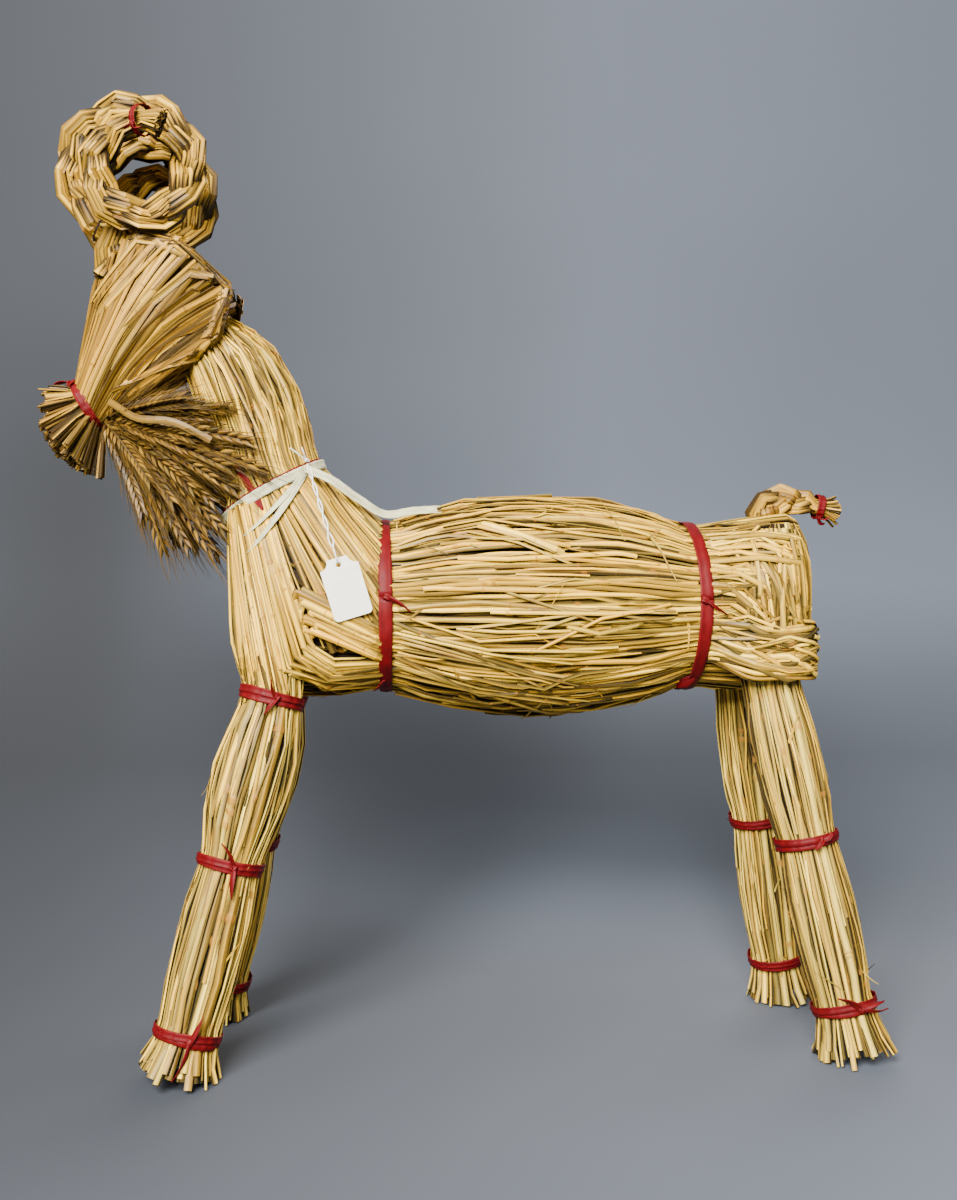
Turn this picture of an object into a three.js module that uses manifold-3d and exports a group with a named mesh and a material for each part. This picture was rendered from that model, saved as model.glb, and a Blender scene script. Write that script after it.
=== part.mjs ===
// A yule goat bound from rye straw: a swollen barrel, a neck and head bent up from it, four splayed
// legs with brushed-out feet, curled plaited horns, a beard of rye ears, a plaited tail, red ribbon at
// every tie, and a card tag that hangs on a string. The goat looks along -X, its left side faces -Y,
// +Z is up and it stands on Z = 0. Lengths are millimetres, angles are degrees. While it is built,
// X = 0 is the middle of the front body ribbon. At the end it is centred under its bounding box.
import * as THREE from "three";
import { mergeVertices } from "three/addons/utils/BufferGeometryUtils.js";
import Module from "manifold-3d";

const wasm = await Module();
wasm.setup();

// Clearances
const seatGap = 0.3; // between two pieces that touch on the real goat
const cutOverrun = 4; // how far a cutting body runs past the face that it opens

// Barrel: long stalks over a loose filling, drawn in by a ribbon at each end
const barrelAxisHeight = 332.5;
const barrelLength = 232.5; // from ribbon to ribbon
const barrelTieRadius = 63.5;
const bellyHalfHeight = 84.5;
const bellyHalfWidth = 80;
const barrelWall = 20; // thickness of the outer stalks round the filling
const rumpLength = 86; // from the rear ribbon to the blunt end
const rumpHalfHeight = 68;
const rumpHalfWidth = 62;
const barrelRidge = 3.6; // how deep the grooves between its stalks go

// Strands wound level round the tops of the hind legs
const girthHeight = 46;
const girthDrop = 32; // its middle, under the barrel's axis
const girthThickness = 7;
const girthStart = 12; // behind the rear ribbon's middle

// Neck
const neckTieAhead = 84.7; // ahead of the front body ribbon
const neckTieRise = 93.5; // above the barrel's axis
const neckTieRadius = 38.5;
const neckTopAhead = 127;
const neckTopRise = 205.5;
const neckTopRadius = 34.5;
const neckRidge = 1.8;

// Legs
const frontHipDrop = 67; // below the barrel's axis
const rearHipDrop = 63.5;
const frontHipAhead = 83; // ahead of the front body ribbon
const frontFootAhead = 148;
const rearHipInset = 26.5; // ahead of the rump's blunt end
const rearFootBehind = 26.5; // behind it
const hipSpread = 39; // each leg's distance from the middle plane
const footSpread = 70;
const rightFrontFootBack = 11; // the right front foot stands further back than the left one
const rightRearFootForward = 7;
const legTieRadius = 21.5;
const frontThighRadius = 29.5;
const rearThighRadius = 25;
const shinRadius = 24.5;
const legRidge = 1.5;
const frontCrownRise = 126; // how far the front stalks run up inside the chest
const rearCrownRise = 74;
const crownLean = 8;
const crownInset = 19;
const footCoreRadius = 20;
const footBrushRadius = 27.5;
const stalkWidth = 4.8; // one rye stalk

// Head: stalks tied at the muzzle, fanned out and folded over the neck's top
const muzzleTieAhead = 95; // ahead of the neck's top, and below it
const muzzleTieDrop = 56;
const muzzleTieRadius = 17.8;
const headLength = 137;
const headHalfWidth = 38;
const headRidge = 1.5;
const muzzleBrushLength = 40;
const muzzleTrim = 30.5; // the brush is cut off square this far ahead of its tie
const muzzleRootRadius = 9.2; // its outermost stalks start this far from its middle

// Horns: a plait that curls round more than one and a half times, outwards as it goes
const hornCentreBehind = 38; // behind the muzzle tie, and above it
const hornCentreRise = 169;
const hornTurnRadius = 42;
const hornInnerRadius = 20;
const hornRootRadius = 14.8;
const hornTipRadius = 10.5;
const hornRootSpread = 17.5; // the plait's distance from the middle plane where it starts
const hornSpiralRise = 44; // how far the curl moves outwards
const hornFlick = 13; // how far the last of the plait swings out of the curl

// Beard of rye ears
const earLength = 146; // the longest one, with its stem
const earRadius = 5.4;
const earStemRadius = 1.6;
const earSpread = 49; // the outermost ear tip's distance from the middle plane
const beardRootBelow = 15; // under the muzzle tie's middle
const beardRootBehind = 18;
const beardRootRadius = 8;

// Tail
const tailRootInset = 21.5; // ahead of the rump's blunt end
const tailReach = 42; // from its root to its tie
const tailRise = 17; // from the rump's top to the top of the arch
const tailRadius = 9;
const tailTieRadius = 6.4;
const tailTuftLength = 18;
const tailTuftRadius = 10.5;

// Ribbons
const ribbonWidth = 9;
const ribbonThickness = 0.8;
const ribbonRoom = 2.3; // kept free over the straw where a ribbon goes round it
const ribbonEndLength = 17;
const ribbonKnot = 5.5;
const paleRibbonWidth = 7.5;
const neckRibbonWidth = 6.8;
const neckRibbonRise = 9; // the red neck ribbon sits this far above the pale one
const paleEndLift = 12; // how far the pale ribbon's two ends stand off the chest at their tips

// Wires: soft steel in the legs and neck, finer ones round the horns and through the rump
const legWireRadius = 1.5;
const neckWireRadius = 2.5;
const tieWireRadius = 0.8;
const wireInset = 9; // from a bundle's cut end to the wire's end
const wireGap = 0.4; // round a wire in its straw
const rumpWireLength = 34;
const rumpWireHook = 7;

// Hang tag and its string
const tagWidth = 28;
const tagLength = 44;
const tagThickness = 0.7;
const tagShoulder = 6.5;
const tagHoleRadius = 1.9;
const tagHoleInset = 4.8;
const stringRadius = 0.6;
const stringLoopRadius = 5.6; // the round loop that goes through the tag's hole
const stringTwistRadius = 1.1; // each strand's distance from the pair's middle
const stringKnotRadius = 2.7;
const stringDrop = 80; // from its knot to the tag's hole, seen from the side
const stringReach = 35; // how far outwards it goes on that way, over the chest

const V = (x, y, z) => new THREE.Vector3(x, y, z);
const at = (x, z) => V(x, 0, z);
const sideways = V(0, 1, 0);
const upward = V(0, 0, 1);
const degrees = THREE.MathUtils.degToRad;
const mix = THREE.MathUtils.lerp;
const smooth = THREE.MathUtils.smoothstep;
const swell = (share) => Math.sin(Math.PI * share);
const direction = (angle) => at(Math.cos(degrees(angle)), Math.sin(degrees(angle)));
const moved = (point, way, distance) => point.clone().addScaledVector(way, distance);
const fanned = (tall, wide, turn) =>
  moved(tall.clone().multiplyScalar(Math.cos(turn)), wide, Math.sin(turn));
const times = (count, make) => Array.from({ length: count }, (_, k) => make(k));

// Solids and geometries

function toSolid(geometry) {
  const bare = new THREE.BufferGeometry().setAttribute("position", geometry.getAttribute("position"));
  if (geometry.index) bare.setIndex(geometry.index);
  const merged = mergeVertices(bare);
  return new wasm.Manifold(
    new wasm.Mesh({
      numProp: 3,
      vertProperties: merged.attributes.position.array,
      triVerts: new Uint32Array(merged.index.array),
    }),
  );
}

function toGeometry(solid) {
  const mesh = solid.getMesh();
  return new THREE.BufferGeometry()
    .setAttribute("position", new THREE.BufferAttribute(new Float32Array(mesh.vertProperties), 3))
    .setIndex(new THREE.BufferAttribute(mesh.triVerts, 1));
}

const joined = (solids) => solids.reduce((all, next) => all.add(next));
const cutBy = (solid, tools) => tools.reduce((left, tool) => left.subtract(tool), solid);

// A closed body through rings of points, each ring with as many points as the next, with flat ends
function skin(rings) {
  const sides = rings[0].length;
  const points = rings.flat();
  const faces = [];
  for (let i = 0; i < rings.length - 1; i++) {
    for (let k = 0; k < sides; k++) {
      const a = i * sides + k;
      const b = i * sides + ((k + 1) % sides);
      faces.push(a, b, a + sides, b, b + sides, a + sides);
    }
  }
  const lastStart = (rings.length - 1) * sides;
  for (const start of [0, lastStart]) {
    const middle = V(0, 0, 0);
    for (const point of points.slice(start, start + sides)) middle.addScaledVector(point, 1 / sides);
    points.push(middle);
    for (let k = 0; k < sides; k++) {
      const [a, b] = [start + k, start + ((k + 1) % sides)];
      faces.push(points.length - 1, ...(start ? [a, b] : [b, a]));
    }
  }
  let volume = 0;
  for (let i = 0; i < faces.length; i += 3) {
    const [a, b, c] = faces.slice(i, i + 3).map((n) => points[n]);
    volume += a.dot(b.clone().cross(c));
  }
  if (volume < 0) faces.reverse();
  return toSolid(new THREE.BufferGeometry().setFromPoints(points).setIndex(faces));
}

// A station is one cross-section of a bundle: its centre, the two ways it is measured, its half sizes
// those ways, and its ridge, by which every second point of its outline is pulled in to show stalks.
const station = (centre, tall, wide, halfTall, halfWide, ridge = 0) => ({
  centre,
  tall,
  wide,
  halfTall,
  halfWide,
  ridge,
});

function outline({ centre, tall, wide, halfTall, halfWide, ridge }, sides, grow = 0) {
  return times(sides, (k) => {
    const angle = (2 * Math.PI * k) / sides;
    const reach = grow - (k % 2) * ridge;
    const up = moved(centre, tall, (halfTall + reach) * Math.cos(angle));
    return up.addScaledVector(wide, (halfWide + reach) * Math.sin(angle));
  });
}

// A bundle through its stations. A grown one, which cuts its seat in a neighbour, is smooth and longer.
function bundle(stations, sides, grow = 0) {
  const list = stations.map((s) => (grow ? { ...s, centre: s.centre.clone(), ridge: 0 } : s));
  if (grow) {
    const [first, second] = list;
    const [before, last] = list.slice(-2);
    first.centre.add(first.centre.clone().sub(second.centre).setLength(grow));
    last.centre.add(last.centre.clone().sub(before.centre).setLength(grow));
  }
  return skin(list.map((s) => outline(s, sides, grow)));
}

// Round stations along a path, square to it. The hint is never along the path.
function alongPath(points, radiusAt, hint = sideways) {
  return points.map((centre, i) => {
    const ahead = points[Math.min(i + 1, points.length - 1)];
    const behind = points[Math.max(i - 1, 0)];
    const along = ahead.clone().sub(behind).normalize();
    const tall = hint.clone().cross(along).normalize();
    const wide = along.clone().cross(tall).normalize();
    const radius = radiusAt(i / (points.length - 1));
    return station(centre, tall, wide, radius, radius);
  });
}

// A station between an upper and a lower point of the side outline
function between(upper, lower, halfWide, ridge) {
  const tall = upper.clone().sub(lower);
  const centre = upper.clone().add(lower).divideScalar(2);
  return station(centre, tall.clone().normalize(), sideways, tall.length() / 2, halfWide, ridge);
}

// One square stalk from one point to another
const stalkSides = 4;
function stalk(from, to, fromWidth, toWidth) {
  const along = to.clone().sub(from);
  const hint = Math.abs(along.y) > Math.abs(along.z) ? upward : sideways;
  const halfSize = (share) => mix(fromWidth, toWidth, share) / Math.SQRT2;
  return bundle(alongPath([from, to], halfSize, hint), stalkSides);
}

function ball(centre, radius, around, down) {
  const shape = new THREE.SphereGeometry(radius, around, down);
  return toSolid(shape.translate(centre.x, centre.y, centre.z));
}

// A block much larger than the goat, for cutting away all that lies past one of its faces
const cutSize = 4 * barrelLength;
const cutCube = new THREE.BoxGeometry(cutSize, cutSize, cutSize);
const cutBlock = (x, z) => toSolid(cutCube.clone().translate(x, 0, z));
const belowFloor = cutBlock(0, -cutSize / 2);

// Materials
const finish = (color, roughness, metalness = 0) =>
  new THREE.MeshStandardMaterial({ color, roughness, metalness });
const straw = finish(0xd2ab62, 0.55);
const strawFilling = finish(0xa98850, 0.85);
const ryeEar = finish(0xa98548, 0.7);
const redRibbon = finish(0xa81826, 0.45);
const paleRibbon = finish(0xd6d3a8, 0.5);
const steel = finish(0x4a4742, 0.4, 0.9);
const card = finish(0xece7d8, 0.8);
const cotton = finish(0xf0ede4, 0.9);

const goat = new THREE.Group();
function add(name, solid, material) {
  const mesh = new THREE.Mesh(toGeometry(solid), material);
  mesh.name = name;
  goat.add(mesh);
}

// Ribbons

// The closed band of a ribbon round a station. It bows out so that its flats clear round straw.
function band(seat, width, sides) {
  const bow = 1 / Math.cos(Math.PI / sides);
  const along = seat.tall.clone().cross(seat.wide).normalize();
  const ringAt = (shift, grow) => {
    const halfTall = (seat.halfTall + seatGap) * bow + grow;
    const halfWide = (seat.halfWide + seatGap) * bow + grow;
    const centre = moved(seat.centre, along, shift);
    return outline({ ...seat, centre, halfTall, halfWide, ridge: 0 }, sides);
  };
  const outer = skin([ringAt(-width / 2, ribbonThickness), ringAt(width / 2, ribbonThickness)]);
  return outer.subtract(skin([ringAt(-width, 0), ringAt(width, 0)]));
}

// A flat strip of ribbon through some points, whose face looks the given way
function strip(points, width, face) {
  const [halfWidth, halfThick] = [width / 2, ribbonThickness / 2];
  const rings = alongPath(points, () => 1, face).map(({ centre, tall, wide }) =>
    [
      [-1, -1],
      [1, -1],
      [1, 1],
      [-1, 1],
    ].map(([a, b]) => moved(moved(centre, tall, a * halfWidth), wide, b * halfThick)),
  );
  return skin(rings);
}

// A point outside a station at an angle from its tall way, with the way out and the way round there
function onRim(seat, angle, out) {
  const [c, s] = [Math.cos(degrees(angle)), Math.sin(degrees(angle))];
  const up = moved(seat.centre, seat.tall, (seat.halfTall + out) * c);
  const rim = moved(up, seat.wide, (seat.halfWide + out) * s);
  const outward = seat.tall.clone().multiplyScalar(c).addScaledVector(seat.wide, s);
  const round = seat.tall.clone().multiplyScalar(-s).addScaledVector(seat.wide, c);
  return { rim, outward, round };
}

// A tied ribbon is one strip: its band, its knot and its two ends. knotAngle is 0 on the tall way of
// the bundle and -90 on the goat's left. Each end leaves the knot at a turn: 0 along the bundle and
// 90 round it.
const knotFacets = [5, 3];
const plainTie = { width: ribbonWidth, length: ribbonEndLength, sides: 12 };
function tiedRibbon(seat, knotAngle, endTurns, sizes = {}) {
  const { width, length, sides } = { ...plainTie, ...sizes };
  const along = seat.tall.clone().cross(seat.wide).normalize();
  const bow = 1 / Math.cos(Math.PI / sides);
  const bowed = { ...seat, halfTall: seat.halfTall * bow, halfWide: seat.halfWide * bow };
  const { rim, outward, round } = onRim(bowed, knotAngle, seatGap + ribbonKnot / 2);
  const ends = endTurns.map((turn) => {
    const run = along.clone().multiplyScalar(Math.cos(degrees(turn)));
    run.addScaledVector(round, Math.sin(degrees(turn)));
    return strip([rim, moved(moved(rim, run, length), outward, ribbonKnot / 2)], width / 2, outward);
  });
  const knot = ball(rim, ribbonKnot / 2 + ribbonThickness, ...knotFacets);
  return joined([band(seat, width, sides), knot, ...ends]);
}

// A bundle is straight under a ribbon, for a little more than the ribbon's width
const grooveLength = ribbonWidth + 2 * seatGap;

// Barrel, rump and filling

const barrelSides = 38;
const barrelStation = (x, halfTall, halfWide, ridge) =>
  station(at(x, barrelAxisHeight), upward, sideways, halfTall, halfWide, ridge);
const barrelTie = (x) => barrelStation(x, barrelTieRadius, barrelTieRadius, 0);
const bellyShares = [0.13, 0.3, 0.5, 0.7, 0.87];
const bellySwellPower = 0.72; // under 1, the belly is fuller towards the ties than a sine
const bellyAt = (share) => {
  const full = swell(share) ** bellySwellPower;
  return barrelStation(
    share * barrelLength,
    mix(barrelTieRadius, bellyHalfHeight, full),
    mix(barrelTieRadius, bellyHalfWidth, full),
    barrelRidge,
  );
};
// Shares of the rump's length, its half height and its half width
const rumpShares = [
  [0.25, 0.96, 1.04],
  [0.6, 1, 1.02],
  [0.88, 0.97, 0.96],
  [1, 0.84, 0.8],
];
const barrelFront = -grooveLength / 2;
const rumpEnd = barrelLength + rumpLength;
const barrelStations = [
  barrelTie(barrelFront),
  barrelTie(grooveLength / 2),
  ...bellyShares.map(bellyAt),
  barrelTie(barrelLength - grooveLength / 2),
  barrelTie(barrelLength + grooveLength / 2),
  ...rumpShares.map(([run, tall, wide]) =>
    barrelStation(barrelLength + run * rumpLength, tall * rumpHalfHeight, wide * rumpHalfWidth, barrelRidge),
  ),
];

const fillingSides = 16;
const fillingStations = [barrelStations[0], ...bellyShares.map(bellyAt), barrelTie(barrelLength)].map(
  (s) => ({ ...s, halfTall: s.halfTall - barrelWall, halfWide: s.halfWide - barrelWall, ridge: 0 }),
);
// The filling's room is open at the front, where the chest covers it
const fillingMouth = [-cutOverrun, cutOverrun].map((shift) => {
  const centre = at(barrelFront + shift, barrelAxisHeight);
  return outline({ ...fillingStations[0], centre }, fillingSides, seatGap);
});
const fillingRoom = bundle(fillingStations, fillingSides, seatGap).add(skin(fillingMouth));

// Neck: the barrel's stalks bent up through the chest. Each row gives an upper and a lower point of the
// side outline, as shares of the neck tie's distance ahead of the front ribbon and of its rise above
// the barrel's axis, and a half width as a share of the barrel tie's radius.
const chestShares = [
  [0.2, 0.8, 0.45, -0.74, 1],
  [0.36, 0.91, 0.9, -0.74, 0.96],
  [0.45, 0.99, 1.27, -0.36, 0.89],
  [0.51, 1.04, 1.36, 0.28, 0.74],
];
const neckSides = 28;
const chestPoint = (ahead, rise) => at(-ahead * neckTieAhead, barrelAxisHeight + rise * neckTieRise);
const chestStations = chestShares.map(([upAhead, upRise, lowAhead, lowRise, wide]) =>
  between(chestPoint(upAhead, upRise), chestPoint(lowAhead, lowRise), wide * barrelTieRadius, neckRidge),
);
const neckTie = at(-neckTieAhead, barrelAxisHeight + neckTieRise);
const neckTop = at(-neckTopAhead, barrelAxisHeight + neckTopRise);
const neckAlong = neckTop.clone().sub(neckTie).normalize();
const neckTall = sideways.clone().cross(neckAlong).normalize();
const neckStation = (run, radius, ridge = 0) =>
  station(moved(neckTie, neckAlong, run), neckTall, sideways, radius, radius, ridge);
const neckBowForward = 6; // the neck's middle lies behind the straight line from tie to top
const neckTiesStart = -paleRibbonWidth / 2 - seatGap;
const neckTiesEnd = neckRibbonRise + neckRibbonWidth / 2 + seatGap;
// Shares of the run above the ties, of the way from the tie's radius to the top's, and of the bow
const neckShares = [
  [0.3, 0, 0.8],
  [0.65, 0.4, 0.9],
  [1, 1, 0],
];
const neckShaft = neckShares.map(([run, thin, bow]) => {
  const reach = mix(neckTiesEnd, neckTop.distanceTo(neckTie), run);
  const one = neckStation(reach, mix(neckTieRadius, neckTopRadius, thin), neckRidge);
  return { ...one, centre: moved(one.centre, neckTall, bow * neckBowForward) };
});
const neckStations = [
  barrelTie(barrelFront - seatGap),
  ...chestStations,
  neckStation(neckTiesStart, neckTieRadius),
  neckStation(neckTiesEnd, neckTieRadius),
  ...neckShaft,
];

// Legs: a bundle whose top, the crown, runs up inside the chest or the rump. Its foot is brushed out.

const legSides = 16;
const spanShares = [0.25, 0.5, 0.75];
// Shares of the crown's rise, and of the leg tie's radius
const crownShares = [
  [0.25, 1.12],
  [0.6, 1.15],
  [1, 0.75],
];
const brushStalks = 15;
const wireSides = 6;

function makeLeg({ hip, foot, kneeShare, ankleShare, thighRadius, crownRise, side }) {
  const down = foot.clone().sub(hip).normalize();
  const tall = down.clone().cross(sideways).normalize();
  const wide = tall.clone().cross(down).normalize();
  wide.multiplyScalar(Math.sign(wide.y));
  const legStation = (centre, radius, ridge = 0) => station(centre, tall, wide, radius, radius, ridge);
  const onLeg = (heightShare) => foot.clone().lerp(hip, heightShare);
  const groove = (centre) =>
    [-grooveLength / 2, grooveLength / 2].map((run) => legStation(moved(centre, down, run), legTieRadius));
  const span = (from, to, radius) =>
    spanShares.map((share) =>
      legStation(onLeg(mix(from, to, share)), mix(legTieRadius, radius, swell(share)), legRidge),
    );
  const crown = crownShares
    .map(([rise, thick]) => {
      const shift = V(-crownLean * rise, -side * crownInset * rise, crownRise * rise);
      return legStation(hip.clone().add(shift), legTieRadius * thick, legRidge);
    })
    .reverse();
  const knee = onLeg(kneeShare);
  const ankle = onLeg(ankleShare);
  const thigh = span(1, kneeShare, thighRadius);
  const footEnd = moved(foot, down, footCoreRadius);
  const stations = [
    ...crown,
    ...groove(hip),
    ...thigh,
    ...groove(knee),
    ...span(kneeShare, ankleShare, shinRadius),
    ...groove(ankle),
    legStation(foot, footCoreRadius, legRidge),
    legStation(footEnd, footCoreRadius, legRidge),
  ];
  const brushTop = moved(ankle, down, grooveLength / 2 + stalkWidth);
  const brush = times(brushStalks, (k) => {
    const angle = (2 * Math.PI * k) / brushStalks;
    const out = fanned(tall, wide, angle);
    const from = moved(brushTop, out, legTieRadius - stalkWidth / 2 - seatGap);
    const to = moved(foot, out, footBrushRadius - stalkWidth / 2);
    const past = to.clone().sub(from).setLength(2 * stalkWidth);
    return stalk(from, to.add(past), stalkWidth / 2, stalkWidth);
  });
  const wirePath = [moved(foot, down, -wireInset), knee, hip, crown[1].centre];
  const borePath = [moved(footEnd, down, cutOverrun), ...wirePath.slice(1)];
  const bore = bundle(alongPath(borePath, () => legWireRadius), wireSides, wireGap);
  return {
    solid: cutBy(joined([bundle(stations, legSides), ...brush]), [belowFloor, bore]),
    wire: bundle(alongPath(wirePath, () => legWireRadius), wireSides),
    seat: bundle([...crown, ...groove(hip), ...thigh], legSides, seatGap),
    hip: legStation(hip, legTieRadius),
    knee: legStation(knee, legTieRadius),
    ankle: legStation(ankle, legTieRadius),
  };
}

const frontLeg = (side, back) =>
  makeLeg({
    hip: V(-frontHipAhead, side * hipSpread, barrelAxisHeight - frontHipDrop),
    foot: V(back - frontFootAhead, side * footSpread, 0),
    kneeShare: 0.557,
    ankleShare: 0.12,
    thighRadius: frontThighRadius,
    crownRise: frontCrownRise,
    side,
  });
const rearLeg = (side, forward) =>
  makeLeg({
    hip: V(rumpEnd - rearHipInset, side * hipSpread, barrelAxisHeight - rearHipDrop),
    foot: V(rumpEnd + rearFootBehind - forward, side * footSpread, 0),
    kneeShare: 0.587,
    ankleShare: 0.14,
    thighRadius: rearThighRadius,
    crownRise: rearCrownRise,
    side,
  });
const legs = {
  front_left: frontLeg(-1, 0),
  front_right: frontLeg(1, rightFrontFootBack),
  rear_left: rearLeg(-1, 0),
  rear_right: rearLeg(1, rightRearFootForward),
};

// Head. Each row gives an upper and a lower point of the side outline, measured back and up from the
// muzzle tie as shares of the head's length, and a half width as a share of the head's.
const headShares = [
  [-0.043, 0.31, 0.2, 0, 0.63],
  [0.005, 0.55, 0.4, 0.115, 0.84],
  [0.1, 0.73, 0.56, 0.2, 0.97],
  [0.321, 0.926, 0.72, 0.3, 1],
  [0.548, 0.843, 0.8, 0.42, 0.9],
  [0.76, 0.67, 0.85, 0.53, 0.62],
];
const headSides = 22;
const muzzleAngle = 31; // the way from the muzzle tie into the head, above level
const muzzleTie = neckTop.clone().add(at(-muzzleTieAhead, -muzzleTieDrop));
const muzzleAlong = direction(muzzleAngle);
const muzzleTall = muzzleAlong.clone().cross(sideways);
const muzzleStation = (run) =>
  station(moved(muzzleTie, muzzleAlong, run), muzzleTall, sideways, muzzleTieRadius, muzzleTieRadius);
const headPoint = (back, up) => muzzleTie.clone().add(at(back * headLength, up * headLength));
const headStations = [
  muzzleStation(-grooveLength / 2),
  muzzleStation(grooveLength / 2),
  ...headShares.map(([upBack, up, lowBack, low, wide]) =>
    between(headPoint(upBack, up), headPoint(lowBack, low), wide * headHalfWidth, headRidge),
  ),
];

// The cut stalks of the muzzle, in rings, each ring leaning further out than the last
const muzzleRingShares = [
  [5, 0.34],
  [10, 0.68],
  [15, 1],
];
const muzzleFan = 44; // how far the outermost stalks lean from the brush's middle
const muzzleDroop = 11; // how far the whole brush hangs below the muzzle's line
const brushAlong = direction(180 + muzzleAngle + muzzleDroop);
const brushTall = direction(90 + muzzleAngle + muzzleDroop);
const brushOrigin = moved(muzzleTie, muzzleAlong, (stalkWidth - grooveLength) / 2);
function muzzleStalk(lean, turn) {
  const out = fanned(brushTall, sideways, turn);
  const tilt = degrees(muzzleFan * lean);
  const way = brushAlong.clone().multiplyScalar(Math.cos(tilt)).addScaledVector(out, Math.sin(tilt));
  const from = moved(brushOrigin, out, muzzleRootRadius * lean);
  return stalk(from, moved(from, way, muzzleBrushLength + stalkWidth), stalkWidth / 2, stalkWidth);
}
const muzzleStalks = muzzleRingShares.flatMap(([count, lean]) =>
  times(count, (k) => muzzleStalk(lean, (2 * Math.PI * k) / count)),
);
const muzzleBrush = joined([muzzleStalk(0, 0), ...muzzleStalks]).subtract(
  cutBlock(muzzleTie.x - muzzleTrim - cutSize / 2, muzzleTie.z),
);

// Horns

const hornStartAngle = 258; // where the curl begins, seen from the goat's left
const hornSweep = 580;
const hornSteps = 30;
const hornTightenShares = [0.5, 0.82]; // the curl draws in between these shares of its sweep
const hornFlickShare = 0.84; // from here on the plait swings out of the curl
const hornSides = 8;
const hornMiddle = muzzleTie.clone().add(at(hornCentreBehind, hornCentreRise));
// Where the plait starts inside the head, back and up from the muzzle tie as shares of its length, and
// how much of the way from the curl's start down to there its first two stations are
const hornFootShares = [0.1552, 0.6417];
const hornFootRunShares = [1, 0.6];
function hornPoint(share, side) {
  const tight = smooth(share, ...hornTightenShares);
  const flick = Math.max(0, (share - hornFlickShare) / (1 - hornFlickShare));
  const radius = mix(hornTurnRadius, hornInnerRadius, tight) + hornFlick * flick ** 2;
  const point = moved(hornMiddle, direction(hornStartAngle - hornSweep * share), radius);
  return point.setY(side * (hornRootSpread + hornSpiralRise * share));
}
function hornPath(side) {
  const start = hornPoint(0, side);
  const drop = headPoint(...hornFootShares).setY(start.y).sub(start);
  const foot = hornFootRunShares.map((share) => moved(start, drop, share));
  return [...foot, ...times(hornSteps + 1, (i) => hornPoint(i / hornSteps, side))];
}
const hornStations = (side) =>
  alongPath(hornPath(side), (share) => mix(hornRootRadius, hornTipRadius, share));
const horns = { left: hornStations(-1), right: hornStations(1) };
const hornTieIndex = -2; // the ribbon binds the plait's end at this station
const hornWireIndex = 3; // the wire ties the curl at this one

// Beard. Each row gives an ear's fall from level, its length and its spread as shares of the largest.
const earFallShares = [
  [-2, 0.66, 0.98],
  [-15, 1, 1],
  [-27, 0.76, 0.7],
  [-41, 0.72, 0.36],
  [-50, 0.96, 0.6],
  [-58, 0.68, 0.16],
];
// Shares of an ear's length, with the radius there as a share of the ear's
const earShapeShares = [
  [0.2, 0.3],
  [0.34, 0.95],
  [0.66, 1],
  [1, 0.2],
];
const earBow = 0.62; // under 1, an ear leans out early and then runs beside the neck
const earSides = 6;
const beardRoot = muzzleTie.clone().add(at(beardRootBehind, -beardRootBelow));
function ryeEarAt([fall, lengthShare, spreadShare], side) {
  const point = (run) =>
    moved(beardRoot, direction(fall), run * lengthShare * earLength).setY(
      side * (earRadius + spreadShare * (earSpread - earRadius) * run ** earBow),
    );
  const shape = [[0, earStemRadius / earRadius], ...earShapeShares];
  const stations = alongPath(
    shape.map(([run]) => (run ? point(run) : beardRoot.clone().setY((side * earRadius) / 2))),
    () => earRadius,
  );
  return bundle(
    stations.map((s, i) => ({ ...s, halfTall: shape[i][1] * earRadius, halfWide: shape[i][1] * earRadius })),
    earSides,
  );
}
const ears = [-1, 1].flatMap((side) => earFallShares.map((row) => ryeEarAt(row, side)));

// Tail: a plait that rises from the rump's top and arches backwards, with a tuft past its tie

const tailSides = 8;
const tailRoot = at(rumpEnd - tailRootInset, barrelAxisHeight + rumpHalfHeight);
// Shares of the tail's reach and of its rise
const tailArchShares = [
  [0.03, -0.9],
  [-0.02, -0.1],
  [-0.08, 0.5],
  [0.1, 0.92],
  [0.35, 1],
  [0.7, 0.9],
  [1, 0.68],
  [1.13, 0.6],
];
const tailPath = tailArchShares.map(([reach, rise]) =>
  tailRoot.clone().add(at(reach * tailReach, rise * tailRise)),
);
const tailStations = alongPath(tailPath, (share) => mix(tailRadius, tailTieRadius, share ** 3));
const tailTie = { ...tailStations.at(-2), halfTall: tailTieRadius, halfWide: tailTieRadius };
tailStations.splice(-2, 1, tailTie);
const tailEnd = tailPath.at(-1);
const tailAlong = tailEnd.clone().sub(tailPath.at(-2)).normalize();
const tuftStalks = 9;
const tailTuft = times(tuftStalks, (k) => {
  const turn = (2 * Math.PI * k) / tuftStalks;
  const out = fanned(tailTie.tall, tailTie.wide, turn);
  const from = moved(moved(tailEnd, out, tailTieRadius - stalkWidth / 2), tailAlong, -stalkWidth / 2);
  const to = moved(moved(tailEnd, out, tailTuftRadius - stalkWidth / 2), tailAlong, tailTuftLength);
  return stalk(from, to, stalkWidth / 2, stalkWidth);
});

// Girth: a ridged strip that runs back along one side, round the hind legs' tops and forward again
const girthRidges = 5;
const girthGrooveShare = 0.28; // how deep a groove between two strands goes, as a share of half of it
const girthInside = Math.max(hipSpread + rearThighRadius, rumpHalfWidth);
const girthHalfWidth = girthInside + seatGap + girthThickness / 2;
const girthLevel = barrelAxisHeight - girthDrop;
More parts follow.
